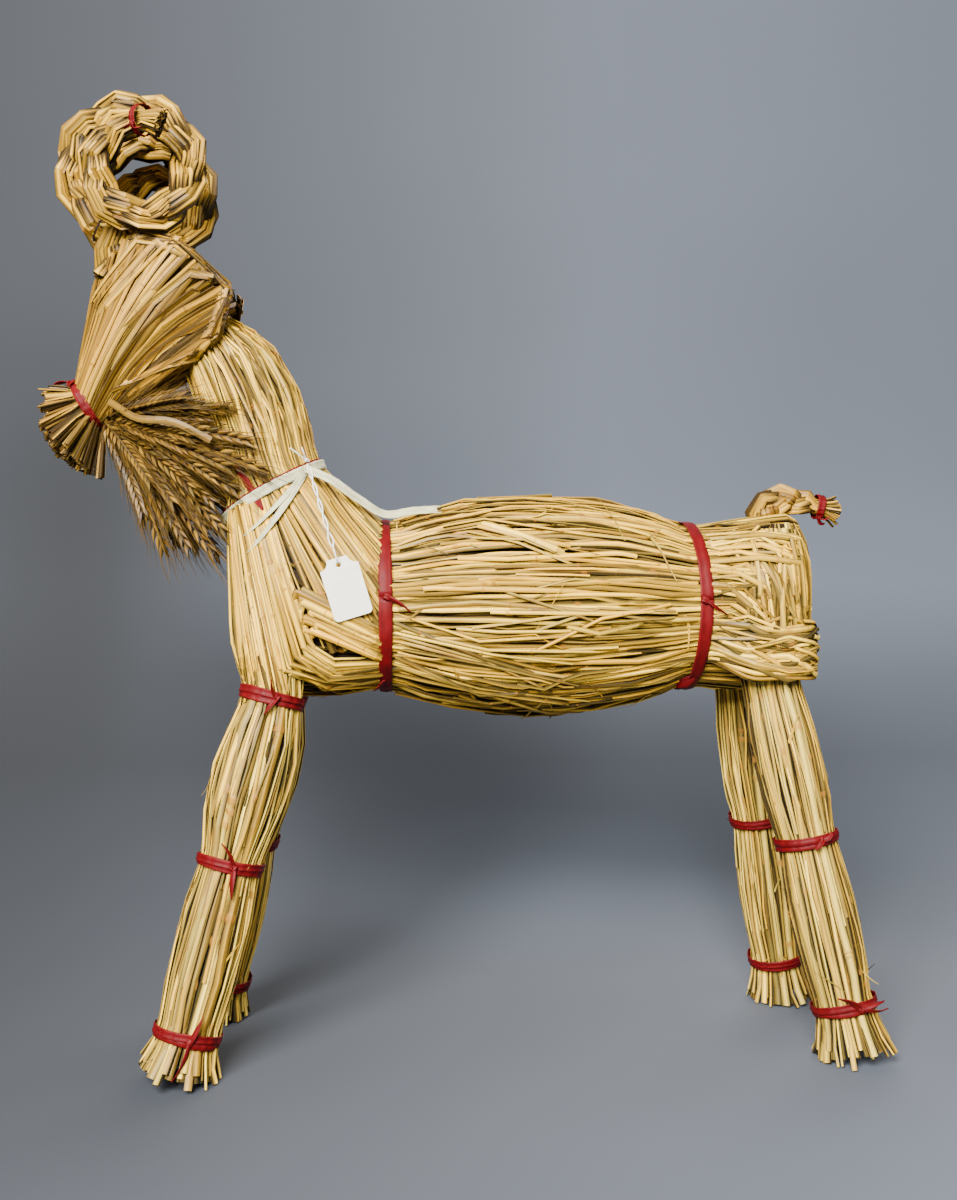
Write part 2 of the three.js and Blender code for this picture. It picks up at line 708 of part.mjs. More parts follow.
// Shares of the rump's length and of the girth's half width, round one side to the middle of the back
const girthPathShares = [
  [0.55, 1],
  [0.8, 0.98],
  [0.95, 0.88],
  [1.03, 0.68],
  [1.05, 0],
];
const girthHalf = [at(girthStart, 0).setY(girthHalfWidth)].concat(
  girthPathShares.map(([run, out]) => V(run * rumpLength, out * girthHalfWidth, 0)),
);
const girthPath = [
  ...girthHalf.map(({ x, y }) => V(barrelLength + x, -y, girthLevel)),
  ...girthHalf.reverse().slice(1).map(({ x, y }) => V(barrelLength + x, y, girthLevel)),
];
// Points of its section, as shares of its half thickness and half height
const girthSectionShares = [
  [-1, 1],
  [-1, -1],
  ...times(2 * girthRidges + 1, (k) => [k % 2 ? 1 : 1 - 2 * girthGrooveShare, k / girthRidges - 1]),
];
const girth = skin(
  alongPath(girthPath, () => 1, upward).map(({ centre, tall, wide }) =>
    girthSectionShares.map(([out, high]) =>
      moved(moved(centre, tall, (-out * girthThickness) / 2), wide, (high * girthHeight) / 2),
    ),
  ),
);

// Wires inside and round the straw
// Shares of the neck tie's distance ahead of the front ribbon and of its rise above the barrel's axis
const neckWireShares = [
  [0.2, 0],
  [0.72, 0.3],
];
const neckWirePath = [
  at(barrelLength / 4, barrelAxisHeight),
  ...neckWireShares.map(([ahead, rise]) => chestPoint(ahead, rise)),
  neckTie,
  ...neckShaft.map((s) => s.centre),
];
const neckWireBend = alongPath(neckWirePath, () => neckWireRadius);
const neckWireRoom = bundle(neckWireBend, wireSides, wireGap);
const rumpWireExit = at(rumpEnd + 2 * girthThickness, girthLevel);
const rumpWirePath = [
  moved(rumpWireExit, V(1, 0, 0), -rumpWireLength),
  rumpWireExit,
  rumpWireExit.clone().add(at(rumpWireHook / 2, rumpWireHook)),
];
const tieWire = (path) => alongPath(path, () => tieWireRadius);
const rumpWireRoom = bundle(tieWire(rumpWirePath.slice(0, 2)), wireSides, wireGap);
const wireRingSteps = 14;
function wireRing(seat) {
  const ring = times(wireRingSteps, (k) => {
    const turn = (360 * k) / wireRingSteps;
    const { rim, outward } = onRim(seat, turn, 2 * seatGap + tieWireRadius);
    const across = seat.tall.clone().cross(seat.wide).normalize();
    return outline(station(rim, outward, across, tieWireRadius, tieWireRadius), wireSides);
  });
  return closedRing(ring);
}

// A closed body through rings of points that follow each other round
function closedRing(rings) {
  const sides = wireSides;
  const faces = [];
  rings.forEach((_, i) => {
    const next = ((i + 1) % rings.length) * sides;
    for (let k = 0; k < sides; k++) {
      const [a, b] = [k, (k + 1) % sides];
      faces.push(i * sides + a, next + a, i * sides + b, i * sides + b, next + a, next + b);
    }
  });
  return toSolid(new THREE.BufferGeometry().setFromPoints(rings.flat()).setIndex(faces));
}

// Straw pieces, each cut by the ones that run through it
const seatOf = (stations, sides) => bundle(stations, sides, seatGap);
const hornSeats = Object.values(horns).map((stations) => seatOf(stations, hornSides));
const neckTopSeat = seatOf([neckStations.at(-4), ...neckShaft], neckSides);
const legSeats = (end) => [legs[`${end}_left`].seat, legs[`${end}_right`].seat];
const tailSeat = seatOf(tailStations.slice(0, 3), tailSides);
const barrelCuts = [fillingRoom, ...legSeats("rear"), tailSeat, rumpWireRoom];
const headCuts = [neckTopSeat, neckWireRoom, ...hornSeats];
const neckTies = [neckTiesStart, neckTiesEnd].map((run) => neckStation(run, neckTieRadius));
const beardCuts = [
  seatOf(headStations, headSides),
  seatOf(neckStations, neckSides),
  bundle(neckTies, neckSides, ribbonRoom),
  bundle(headStations.slice(0, 2), headSides, ribbonRoom),
];
add("barrel_straw", cutBy(bundle(barrelStations, barrelSides), barrelCuts), straw);
add("barrel_filling", cutBy(bundle(fillingStations, fillingSides), [neckWireRoom]), strawFilling);
add("neck_straw", cutBy(bundle(neckStations, neckSides), [...legSeats("front"), neckWireRoom]), straw);
add("head_straw", cutBy(joined([bundle(headStations, headSides), muzzleBrush]), headCuts), straw);
const girthCuts = [seatOf(barrelStations, barrelSides), ...legSeats("rear"), rumpWireRoom];
add("girth_straw", cutBy(girth, girthCuts), straw);
for (const [name, leg] of Object.entries(legs)) {
  add(`${name}_leg`, leg.solid, straw);
  add(`${name}_leg_wire`, leg.wire, steel);
}
add("neck_wire", bundle(neckWireBend, wireSides), steel);
add("rump_wire", bundle(tieWire(rumpWirePath), wireSides), steel);
for (const [name, stations] of Object.entries(horns)) {
  add(`${name}_horn`, bundle(stations, hornSides), straw);
  add(`${name}_horn_wire`, wireRing(stations[hornWireIndex]), steel);
}
const beardKnotFacets = [8, 6];
const beardKnot = ball(beardRoot, beardRootRadius, ...beardKnotFacets);
add("beard_ears", cutBy(joined([beardKnot, ...ears]), beardCuts), ryeEar);
add("tail_plait", joined([bundle(tailStations, tailSides), ...tailTuft]), straw);

// Red ribbons at the ties
const bodyBand = { sides: 22 };
add("front_body_ribbon", tiedRibbon(barrelTie(0), -84, [210], bodyBand), redRibbon);
add("rear_body_ribbon", tiedRibbon(barrelTie(barrelLength), -86, [210], bodyBand), redRibbon);
add("muzzle_ribbon", tiedRibbon(muzzleStation(0), -25, [80, -70]), redRibbon);
const smallTie = { width: ribbonWidth / 2, length: ribbonEndLength / 2, sides: 8 };
add("tail_ribbon", tiedRibbon(tailTie, -30, [25, -40], smallTie), redRibbon);
const neckBand = { width: neckRibbonWidth, sides: 16 };
const neckRibbonSeat = neckStation(neckRibbonRise, neckTieRadius);
add("neck_ribbon", tiedRibbon(neckRibbonSeat, -70, [200], neckBand), redRibbon);
for (const [name, leg] of Object.entries(legs)) {
  const knotAngle = name.endsWith("left") ? -80 : 80;
  const tieNames = name.startsWith("front") ? ["hip", "knee", "ankle"] : ["knee", "ankle"];
  for (const tie of tieNames) {
    add(`${name}_${tie}_ribbon`, tiedRibbon(leg[tie], knotAngle, [150, 15]), redRibbon);
  }
}
for (const [name, stations] of Object.entries(horns)) {
  const tie = stations.at(hornTieIndex);
  add(`${name}_horn_ribbon`, tiedRibbon(tie, name === "left" ? -60 : 60, [20], smallTie), redRibbon);
}

// Pale ribbon: a band round the neck, a knot with two ends down the chest, and a long end that lies
// along the back and passes over the red body ribbon
const paleKnotAngle = -52;
const trainAngle = -22; // from the middle of the back, down the left side
const trainLift = 3 * (ribbonThickness + seatGap);
const trainShares = [0.12, 0.2]; // where it lies on the belly, the last one is its end
const paleSeat = neckStation(0, neckTieRadius);
const paleBand = { width: paleRibbonWidth, sides: 16 };
const paleKnot = onRim(paleSeat, paleKnotAngle, seatGap + ribbonKnot / 2).rim;
const trainSeats = [
  ...chestStations.toReversed(),
  barrelTie(barrelFront),
  barrelTie(-barrelFront),
  ...trainShares.map(bellyAt),
];
const trainPath = [paleKnot, ...trainSeats.map((seat) => onRim(seat, trainAngle, trainLift).rim)];
const trainFace = V(0, Math.sin(degrees(trainAngle)), Math.cos(degrees(trainAngle)));
const paleEndBend = -84; // the two ends go over the chest's side here
const paleEndAngles = [-122, -131];
const paleEnds = paleEndAngles.map((angle) => {
  const high = onRim(chestStations.at(-1), paleEndBend, ribbonKnot);
  const low = onRim(chestStations.at(-1), angle, paleEndLift);
  return strip([paleKnot, high.rim, low.rim], paleRibbonWidth / 2, high.outward);
});
const paleTie = tiedRibbon(paleSeat, paleKnotAngle, [], paleBand);
const paleStrips = joined([paleTie, strip(trainPath, paleRibbonWidth, trainFace), ...paleEnds]);

// Tag and string. Both hang in a plane that leans towards the tail. The string's knot is drawn down
// onto the pale ribbon's knot.
const tagLean = 17;
const hingeWay = direction(tagLean);
const hangWay = sideways.clone().cross(hingeWay);
const outWay = V(0, -1, 0);
const stringKnotAngle = 62; // from the ribbon's knot to the string's, above level
const stringKnotOutShare = 0.3;
const stringKnotWay = moved(direction(stringKnotAngle), outWay, stringKnotOutShare).normalize();
const stringKnotFacets = [10, 8];
const stringKnot = moved(paleKnot, stringKnotWay, ribbonKnot / 2 + stringKnotRadius);
const stringKnotSeat = ball(stringKnot, stringKnotRadius + seatGap, ...stringKnotFacets);
const paleCuts = [seatOf(neckStations, neckSides), legs.front_left.seat, stringKnotSeat];
add("pale_ribbon", cutBy(paleStrips, paleCuts), paleRibbon);

const loopFoot = moved(moved(stringKnot, hangWay, stringDrop), outWay, stringReach);
const tagHole = moved(loopFoot, hangWay, tagHoleRadius - stringRadius - seatGap);
const loopMiddle = moved(loopFoot, hangWay, -stringLoopRadius);
const pairEnd = moved(loopMiddle, hangWay, -stringLoopRadius);
const pairWay = pairEnd.clone().sub(stringKnot).normalize();
const pairStart = moved(stringKnot, pairWay, stringKnotRadius + 2 * seatGap);
const pairSteps = 16;
const stringTwists = 2.5;
const loopSteps = 16;
const loopOpening = 22; // half the angle by which the loop is open at its top
const loopMouth = stringLoopRadius * Math.sin(degrees(loopOpening));
const stringOpenPower = 8; // the two strands part only near the loop
const strand = (side) =>
  times(pairSteps, (i) => {
    const share = i / pairSteps;
    const turn = 2 * Math.PI * stringTwists * (1 - share);
    const middle = pairStart.clone().lerp(pairEnd, share);
    const spread = side * mix(stringTwistRadius, loopMouth, share ** stringOpenPower);
    return moved(moved(middle, outWay, spread * Math.cos(turn)), hingeWay, spread * Math.sin(turn));
  });
const loop = times(loopSteps + 1, (i) => {
  const turn = degrees(mix(loopOpening, 360 - loopOpening, i / loopSteps));
  const out = moved(loopMiddle, outWay, stringLoopRadius * Math.sin(turn));
  return moved(out, hangWay, -stringLoopRadius * Math.cos(turn));
});
const stringPath = [...strand(1), ...loop, ...strand(-1).reverse()];
const stringSides = 5;
add("string_knot", ball(stringKnot, stringKnotRadius, ...stringKnotFacets), cotton);
add("tag_string", bundle(alongPath(stringPath, () => stringRadius, hingeWay), stringSides), cotton);

const tagShape = new THREE.Shape();
const [tagTop, tagFoot, tagSide] = [tagHoleInset, tagHoleInset - tagLength, tagWidth / 2];
tagShape.moveTo(-tagSide, tagFoot).lineTo(tagSide, tagFoot).lineTo(tagSide, tagTop - tagShoulder);
tagShape.quadraticCurveTo(tagSide - tagShoulder, tagTop - tagShoulder, tagSide - tagShoulder, tagTop);
tagShape.lineTo(tagShoulder - tagSide, tagTop);
tagShape.quadraticCurveTo(tagShoulder - tagSide, tagTop - tagShoulder, -tagSide, tagTop - tagShoulder);
tagShape.holes.push(new THREE.Path().absarc(0, 0, tagHoleRadius, 0, 2 * Math.PI, true));
const tagDetail = { depth: tagThickness, bevelEnabled: false, curveSegments: 5 };
const tagUp = moved(V(0, 0, 0), hangWay, -1);
const tagFace = hingeWay.clone().cross(tagUp);
const tagPlace = new THREE.Matrix4().makeBasis(hingeWay, tagUp, tagFace).setPosition(tagHole);
const tagSolid = new THREE.ExtrudeGeometry(tagShape, tagDetail).translate(0, 0, -tagThickness / 2);
add("hang_tag", toSolid(tagSolid.applyMatrix4(tagPlace)), card);

// The frame's origin lies on the floor under the middle of the goat's bounding box
const bounds = new THREE.Box3().setFromObject(goat);
const middle = bounds.getCenter(V(0, 0, 0));
for (const mesh of goat.children) mesh.geometry.translate(-middle.x, -middle.y, -bounds.min.z);

export default goat;
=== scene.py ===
# %% [markdown]
# # A straw yule goat, dressed stalk by stalk
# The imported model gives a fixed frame: where every bundle, horn, ribbon and foot is. On the real goat
# nearly all of that is rye straw, so this lesson lays some thousands of separate stalks along the
# bundles of the frame, plaits the horns and the tail, and ties satin ribbon round every waist.

# %% Load the fixed frame
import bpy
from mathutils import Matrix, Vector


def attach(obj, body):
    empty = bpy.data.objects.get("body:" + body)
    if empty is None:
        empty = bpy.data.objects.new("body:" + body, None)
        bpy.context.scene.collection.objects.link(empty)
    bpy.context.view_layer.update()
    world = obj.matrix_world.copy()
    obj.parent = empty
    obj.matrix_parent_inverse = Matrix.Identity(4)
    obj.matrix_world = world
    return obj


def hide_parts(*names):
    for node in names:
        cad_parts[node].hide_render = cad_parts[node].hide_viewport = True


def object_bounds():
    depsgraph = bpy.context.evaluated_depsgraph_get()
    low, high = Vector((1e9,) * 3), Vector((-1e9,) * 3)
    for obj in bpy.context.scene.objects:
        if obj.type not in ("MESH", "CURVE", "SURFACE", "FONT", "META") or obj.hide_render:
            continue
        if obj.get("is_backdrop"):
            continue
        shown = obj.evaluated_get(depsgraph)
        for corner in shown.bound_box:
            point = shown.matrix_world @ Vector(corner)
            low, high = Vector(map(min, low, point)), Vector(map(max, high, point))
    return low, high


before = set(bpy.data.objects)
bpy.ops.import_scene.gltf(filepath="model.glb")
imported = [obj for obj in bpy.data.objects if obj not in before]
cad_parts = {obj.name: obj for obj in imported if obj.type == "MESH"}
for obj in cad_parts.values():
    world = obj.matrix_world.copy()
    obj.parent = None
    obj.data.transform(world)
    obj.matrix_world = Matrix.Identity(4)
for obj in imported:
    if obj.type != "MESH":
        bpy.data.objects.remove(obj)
solids_box = [list(corner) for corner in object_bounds()]
import math

import bpy
import numpy as np
from mathutils import Vector

# %% [markdown]
# ## Camera first
# The photograph is taken level, from the goat's left, a little from its front. The goat's feet and
# horns give the camera's height and distance, and the sensor is measured along the picture's long side.

# %% Set up the camera
picture_height_px = 1200
focal_px = 1267
sensor_mm = 36
camera_turn = math.radians(-5.6)
camera_data = bpy.data.cameras.new("camera")
camera_data.sensor_width = sensor_mm
camera_data.lens = focal_px / picture_height_px * sensor_mm
camera = bpy.data.objects.new("camera", camera_data)
camera.location = (-0.0848, -0.9735, 0.337)
camera.rotation_euler = (math.radians(90), 0, camera_turn)
bpy.context.scene.collection.objects.link(camera)
bpy.context.scene.camera = camera
print("lens", round(camera_data.lens, 2))

# %% [markdown]
# ## Measures and small helpers
# All lengths below are in millimetres, with X = 0 at the front body ribbon, which is how the goat is
# measured on the bench. One function moves points into the frame, in metres.

# %% Points, directions and smooth curves
bench_origin = np.array([61.39946, -0.01115, 0.0])


def in_frame(points):
    """Points of the bench, in millimetres, as points of the frame, in metres."""
    return (np.asarray(points, float) - bench_origin) / 1000


def unit(vectors):
    """The same directions with length 1."""
    length = np.linalg.norm(vectors, axis=-1, keepdims=True)
    return vectors / np.maximum(length, 1e-9)


def running_length(points):
    """The length run so far at each point of a line, or of many lines at once."""
    steps = np.linalg.norm(np.diff(points, axis=-2), axis=-1)
    return np.concatenate([np.zeros_like(steps[..., :1]), np.cumsum(steps, -1)], -1)


def heading(degrees):
    """A direction in the side view: 0 is towards the tail and 90 is up."""
    return np.array([math.cos(math.radians(degrees)), 0, math.sin(math.radians(degrees))])


def curve(keys, rows, share):
    """Reads a smooth curve through rows of values at each share, without overshoot."""
    keys, rows = np.asarray(keys, float), np.asarray(rows, float)
    run = np.diff(keys)[:, None]
    slope = np.diff(rows, axis=0) / run
    level = np.zeros_like(rows)
    product = slope[:-1] * slope[1:]
    total = np.where(product > 0, slope[:-1] + slope[1:], 1)
    level[1:-1] = np.where(product > 0, 2 * product / total, 0)
    level[0], level[-1] = slope[0], slope[-1]
    share = np.clip(share, keys[0], keys[-1])
    i = np.clip(np.searchsorted(keys, share, side="right") - 1, 0, len(keys) - 2)
    t = ((share - keys[i]) / run[i, 0])[..., None]
    start = (2 * t**3 - 3 * t**2 + 1) * rows[i] + (t**3 - 2 * t**2 + t) * run[i] * level[i]
    end = (3 * t**2 - 2 * t**3) * rows[i + 1] + (t**3 - t**2) * run[i] * level[i + 1]
    return start + end


def through(points, share):
    """A smooth way through points, read at shares of its length."""
    points = np.asarray(points, float)
    steps = np.linalg.norm(np.diff(points, axis=0), axis=-1)
    keys = np.concatenate([[0], np.cumsum(steps)]) / steps.sum()
    return curve(keys, points, share)


print("a point of the frame:", in_frame([0, 0, 332.5]).round(4))

# %% [markdown]
# ## A sheaf of stalks
# A stalk is a thin tube, rounder or flatter, with a joint or two along it and a hollow end where it is
# cut. Ten thousand modifiers would be slow, so each piece collects its stalks as arrays of rings and
# becomes one mesh. Every point keeps the stalk's tone and how near it is to a joint, for the material,
# and the UV map holds real lengths across and along the stalk.

# %% The sheaf and its mesh
dice = np.random.default_rng(12)


class Sheaf:
    """The stalks of one piece, kept as rings of points until they become one mesh."""

    def __init__(self):
        self.batches = []

    def lay(self, path, out, radius, flat=0.8, sides=5, tone=0.5, joint=0.0, hollow=False, roll=0.0,
            shade=0.0):
        """path and out are (stalks, points, 3); the rest is spread over stalks and points."""
        path = np.asarray(path, float)
        count, steps = path.shape[:2]
        spread = lambda value: np.broadcast_to(np.asarray(value, float), (count, steps)).copy()
        column = lambda value: np.broadcast_to(np.asarray(value, float).reshape(-1, 1), (count, 1))
        radius, flat, joint, tone, shade = spread(radius), spread(flat), spread(joint), spread(
            column(tone)), spread(shade)
        along = unit(np.gradient(path, axis=1))
        side = unit(np.cross(np.broadcast_to(out, path.shape), along))
        up = np.cross(along, side)
        rolled = dice.normal(0, 1, (count, 1, 1)) * roll
        side, up = np.cos(rolled) * side + np.sin(rolled) * up, np.cos(rolled) * up - np.sin(rolled) * side
        run = running_length(path)
        if hollow:
            inset = [path[:, -1:], path[:, -1:] - along[:, -1:] * 2.2 * radius[:, -1:, None]]
            path = np.concatenate([path, *inset], 1)
            more = lambda a, k: np.concatenate([a, np.repeat(a[:, -1:], 2, 1) * k], 1)
            side, up = more(side, 1), more(up, 1)
            radius, flat, tone, run, shade = more(radius, 0.66), more(flat, 1), more(tone, 1), more(run,
                1), more(shade, 1)
            joint = np.concatenate([joint, np.full((count, 1), 0.25), np.ones((count, 1))], 1)
        angle = 2 * np.pi * (np.arange(sides) + 0.5) / sides
        across = np.cos(angle)[None, None, :, None] * side[:, :, None]
        lift = (flat[:, :, None] * np.sin(angle))[..., None] * up[:, :, None]
        rings = path[:, :, None] + radius[:, :, None, None] * (across + lift)
        # Painted shade: a stalk's underside and sides are marked dark, plus any extra shade given.
        gap = np.clip(1 - np.sin(angle) + shade[:, :, None], 0, 1)
        self.batches.append((rings, tone, joint, run, radius.mean(1), gap))

    def core(self, rings, tone=-1.0):
        """A closed body under the stalks, from rings of points, coloured near black as painted shade."""
        rings = np.asarray(rings, float)[None]
        shape = rings.shape[1]
        run = np.linspace(0, 100, shape)[None]
        self.batches.append((rings, np.full((1, shape), tone), np.zeros((1, shape)), run, np.array([9.0]),
            np.ones(rings.shape[2])))

    def mesh(self, name, material, body="goat_body", replaces=(), slot="straw", smooth=False):
        """One mesh of all batches, with its faces, its attributes and both of its UV maps."""
        points, loops, starts, totals, tones, joints, side_shades, fibre, packed = ([] for _ in range(9))
        stalks = sum(len(b[0]) for b in self.batches)
        columns = max(1, int(math.sqrt(stalks * 12)))
        rows = math.ceil(stalks / columns)
        first_point, first_stalk, first_loop = 0, 0, 0
        for rings, tone, joint, run, radius, gap in self.batches:
            count, steps, sides, _ = rings.shape
            points.append(rings.reshape(-1, 3))
            tones.append(np.repeat(tone[:, :, None], sides, 2).ravel())
            joints.append(np.broadcast_to(joint.reshape(count, steps, -1), (count, steps, sides)).ravel())
            side_shades.append(np.broadcast_to(gap, (count, steps, sides)).ravel())
            grid = first_point + np.arange(count * steps * sides).reshape(count, steps, sides)
            right = np.roll(grid, -1, 2)
            quads = np.stack([grid[:, :-1], right[:, :-1], right[:, 1:], grid[:, 1:]], -1)
            k = np.arange(sides)
            u = np.stack([k, k + 1, k + 1, k], -1) / sides
            v = np.stack([run[:, :-1], run[:, :-1], run[:, 1:], run[:, 1:]], -1)[:, :, None, :]
            u = np.broadcast_to(u, v.shape[:2] + u.shape)
            v = np.broadcast_to(v, u.shape)
            girth = (2 * np.pi * radius / 1000)[:, None, None, None]
            fibre.append(np.stack([u * girth, v / 1000], -1).reshape(-1, 2))
            cell = first_stalk + np.arange(count)
            left, low = (cell % columns)[:, None, None, None], (cell // columns)[:, None, None, None]
            height = (v - run.min()) / max(run.max() - run.min(), 1e-6)
            packed.append(np.stack([(left + 0.06 + 0.88 * u) / columns, (low + 0.04 + 0.94 * height) / rows],
                -1).reshape(-1, 2))
            loops.append(quads.ravel())
            faces = quads.size // 4
            starts.append(first_loop + 4 * np.arange(faces))
            totals.append(np.full(faces, 4))
            first_loop += 4 * faces
            ends = np.concatenate([grid[:, 0, ::-1], grid[:, -1]])
            loops.append(ends.ravel())
            starts.append(first_loop + sides * np.arange(len(ends)))
            totals.append(np.full(len(ends), sides))
            first_loop += ends.size
            turn = 2 * np.pi * k / sides
            cap = np.stack([np.cos(turn), np.sin(turn)], -1)
            fibre.append(np.tile(cap * 0.002, (len(ends), 1)))
            spot = np.stack([(cell % columns + 0.5) / columns, (cell // columns + 0.02) / rows], -1)
            spot = np.concatenate([spot, spot])[:, None]
            packed.append((spot + cap * [0.3 / columns, 0.015 / rows]).reshape(-1, 2))
            first_point += count * steps * sides
            first_stalk += count
        return build_piece(
            name, material, body, replaces, np.concatenate(points), np.concatenate(loops),
            np.concatenate(starts),
            np.concatenate(totals), {"tone": np.concatenate(tones), "joint": np.concatenate(joints),
            "gap": np.concatenate(side_shades)},
            {"fibre": np.concatenate(fibre), "OFBake": np.concatenate(packed)}, smooth,
        )


def build_piece(name, material, body, replaces, points, loops, starts, totals, values, maps,
        smooth=True):
    """An object from plain arrays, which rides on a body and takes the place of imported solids."""
    mesh = bpy.data.meshes.new(name)
    mesh.vertices.add(len(points))
    mesh.vertices.foreach_set("co", in_frame(points).astype(np.float32).ravel())
    mesh.loops.add(len(loops))
    mesh.loops.foreach_set("vertex_index", loops.astype(np.int32))
    mesh.polygons.add(len(starts))
    mesh.polygons.foreach_set("loop_start", starts.astype(np.int32))
    mesh.polygons.foreach_set("use_smooth", np.full(len(starts), smooth))
    for key, value in values.items():
        mesh.attributes.new(key, "FLOAT", "POINT").data.foreach_set("value", value.astype(np.float32))
    for key, value in maps.items():
        mesh.uv_layers.new(name=key).data.foreach_set("uv", value.astype(np.float32).ravel())
    mesh.update(calc_edges=True)
    mesh.materials.append(material)
    piece = bpy.data.objects.new(name, mesh)
    bpy.context.scene.collection.objects.link(piece)
    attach(piece, body)
    if replaces:
        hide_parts(*replaces)
    print(name, len(points), "points")
    return piece


# %% [markdown]
# ## The finish of straw
# Dry rye straw is glossy along its length, golden where it was in the sun, cream or grey-green where
# it was not, with fine fibres, brown joints and dull spots. All kinds of straw on the goat share one
# node group, which turns a stalk's tone into colour, and each kind gives it its own palette.

# %% Node helpers
def nodes_of(tree):
    """A function that adds a node to the tree and links or sets its inputs in one go."""

    def make(kind, inputs=None, **settings):
        node = tree.nodes.new("ShaderNode" + kind)
        for key, value in settings.items():
            setattr(node, key, value)
        for key, value in (inputs or {}).items():
            if isinstance(value, bpy.types.NodeSocket):
                tree.links.new(value, node.inputs[key])
            else:
                node.inputs[key].default_value = value
        return node

    return make


def node_group(name, inputs, outputs):
    """An empty shader group with named sockets."""
    tree = bpy.data.node_groups.new(name, "ShaderNodeTree")
    for label, kind, value in inputs:
        socket = tree.interface.new_socket(label, in_out="INPUT", socket_type="NodeSocket" + kind)
        socket.default_value = value
    for label, kind in outputs:
        tree.interface.new_socket(label, in_out="OUTPUT", socket_type="NodeSocket" + kind)
    return tree, tree.nodes.new("NodeGroupInput"), tree.nodes.new("NodeGroupOutput")


def ramp(make, factor, stops):
    """Colours along a factor."""
    node = make("ValToRGB", {"Fac": factor})
    points = node.color_ramp.elements
    while len(points) < len(stops):
        points.new(0.5)
    for point, (place, color) in zip(points, stops):
        point.position = place
        point.color = (*color, 1)
    return node.outputs["Color"]


def blend(make, factor, a, b, kind="MIX"):
    """Colour a turned into colour b, or another way to mix them."""
    node = make("Mix", {0: factor, 6: a, 7: b}, data_type="RGBA", blend_type=kind)
    return node.outputs[2]


def number(make, operation, *values):
    """A sum of two numbers, each a socket or a plain value."""
    node = make("Math", operation=operation)
    for i, value in enumerate(values):
        if isinstance(value, bpy.types.NodeSocket):
            node.id_data.links.new(value, node.inputs[i])
        else:
            node.inputs[i].default_value = value
    return node.outputs[0]


def new_material(name):
    """A material, a maker of nodes for it and its shader."""
    material = bpy.data.materials.new(name)
    material.use_nodes = True
    return material, nodes_of(material.node_tree), material.node_tree.nodes["Principled BSDF"]


def place_group(shader, group, values):
    """A group in a material, with its values."""
    node = shader.id_data.nodes.new("ShaderNodeGroup")
    node.node_tree = group
    for key, value in values.items():
        node.inputs[key].default_value = value
    return node.outputs


def dress_shader(shader, color, rough, height, distance, strength):
    """Links colour and roughness to the shader, and the height as a bump."""
    tree = shader.id_data
    relief = nodes_of(tree)("Bump", {"Height": height, "Distance": distance, "Strength": strength})
    tree.links.new(color, shader.inputs["Base Color"])
    tree.links.new(rough, shader.inputs["Roughness"])
    tree.links.new(relief.outputs[0], shader.inputs["Normal"])


# %% [markdown]
# The group reads three values that every stalk carries. Its tone picks a colour between pale and gold; a tone
# of 1 or more marks the under layers, which are darkened as painted shade, and a tone below -0.5 marks a
# bundle's core, painted near black as shade. Its side shade is high on the sides that face a neighbour, and
# there the colour is darkened as painted shade, so single stalks stay apart even in flat light. Near a joint
# the stalk is brown. A painted picture could hold all this too, but nodes stay sharp at any size.

# %% The stalk group
stalk_group, stalk_in, stalk_out = node_group(
    "rye stalk",
    [
        ("Pale", "Color", (0.8, 0.62, 0.33, 1)),
        ("Gold", "Color", (0.66, 0.42, 0.14, 1)),
        ("Brown", "Color", (0.36, 0.2, 0.07, 1)),
        ("Grey", "Color", (0.4, 0.34, 0.19, 1)),
        ("Grime", "Float", 0.3),
        ("Painted Shade", "Float", 0.2),
    ],
    [("Color", "Color"), ("Roughness", "Float"), ("Height", "Float")],
)
make = nodes_of(stalk_group)
tone = make("Attribute", attribute_name="tone").outputs["Fac"]
joint = make("Attribute", attribute_name="joint").outputs["Fac"]
gap = make("Attribute", attribute_name="gap").outputs["Fac"]
fibre_map = make("UVMap", uv_map="fibre").outputs["UV"]
lengthwise = make("SeparateXYZ", {0: fibre_map}).outputs
stalk_place = make("CombineXYZ", {0: lengthwise[0], 1: lengthwise[1], 2: number(make, "MULTIPLY", tone, 3.7)})
fine = make("Mapping", {"Vector": stalk_place.outputs[0], "Scale": (2600, 40, 9)})
fibres = make("TexNoise", {"Vector": fine.outputs[0], "Scale": 1.0, "Detail": 3.0}).outputs["Fac"]
wide = make("Mapping", {"Vector": stalk_place.outputs[0], "Scale": (240, 28, 5)})
patches = make("TexNoise", {"Vector": wide.outputs[0], "Scale": 1.0, "Detail": 2.0}).outputs["Fac"]
specks_at = make("Mapping", {"Vector": stalk_place.outputs[0], "Scale": (700, 260, 7)})
specks = make("TexNoise", {"Vector": specks_at.outputs[0], "Scale": 1.0, "Detail": 1.0}).outputs["Fac"]
under = number(make, "GREATER_THAN", tone, 1.0)
own = number(make, "FRACT", tone)
other = number(make, "FRACT", number(make, "MULTIPLY", own, 13.7))
third = number(make, "FRACT", number(make, "MULTIPLY", own, 71.3))
base = blend(make, own, stalk_in.outputs["Pale"], stalk_in.outputs["Gold"])
greyed = number(make, "MULTIPLY", number(make, "GREATER_THAN", other, 0.84), 0.75)
base = blend(make, greyed, base, stalk_in.outputs["Grey"])
patchy = make("MapRange", {0: patches, 1: 0.43, 2: 0.7, 3: 0.0, 4: 0.8}).outputs[0]
base = blend(make, number(make, "MULTIPLY", patchy, other), base, stalk_in.outputs["Brown"])
streaky = make("MapRange", {0: fibres, 1: 0.3, 2: 0.7, 3: 0.68, 4: 1.22}).outputs[0]
stalk_light = make("MapRange", {0: third, 1: 0.0, 2: 0.8, 3: 0.32, 4: 1.12}).outputs[0]
# Painted shade: the under layers are darkened.
layer_light = make("MapRange", {0: under, 1: 0.0, 2: 1.0, 3: 1.0, 4: 0.17}).outputs[0]
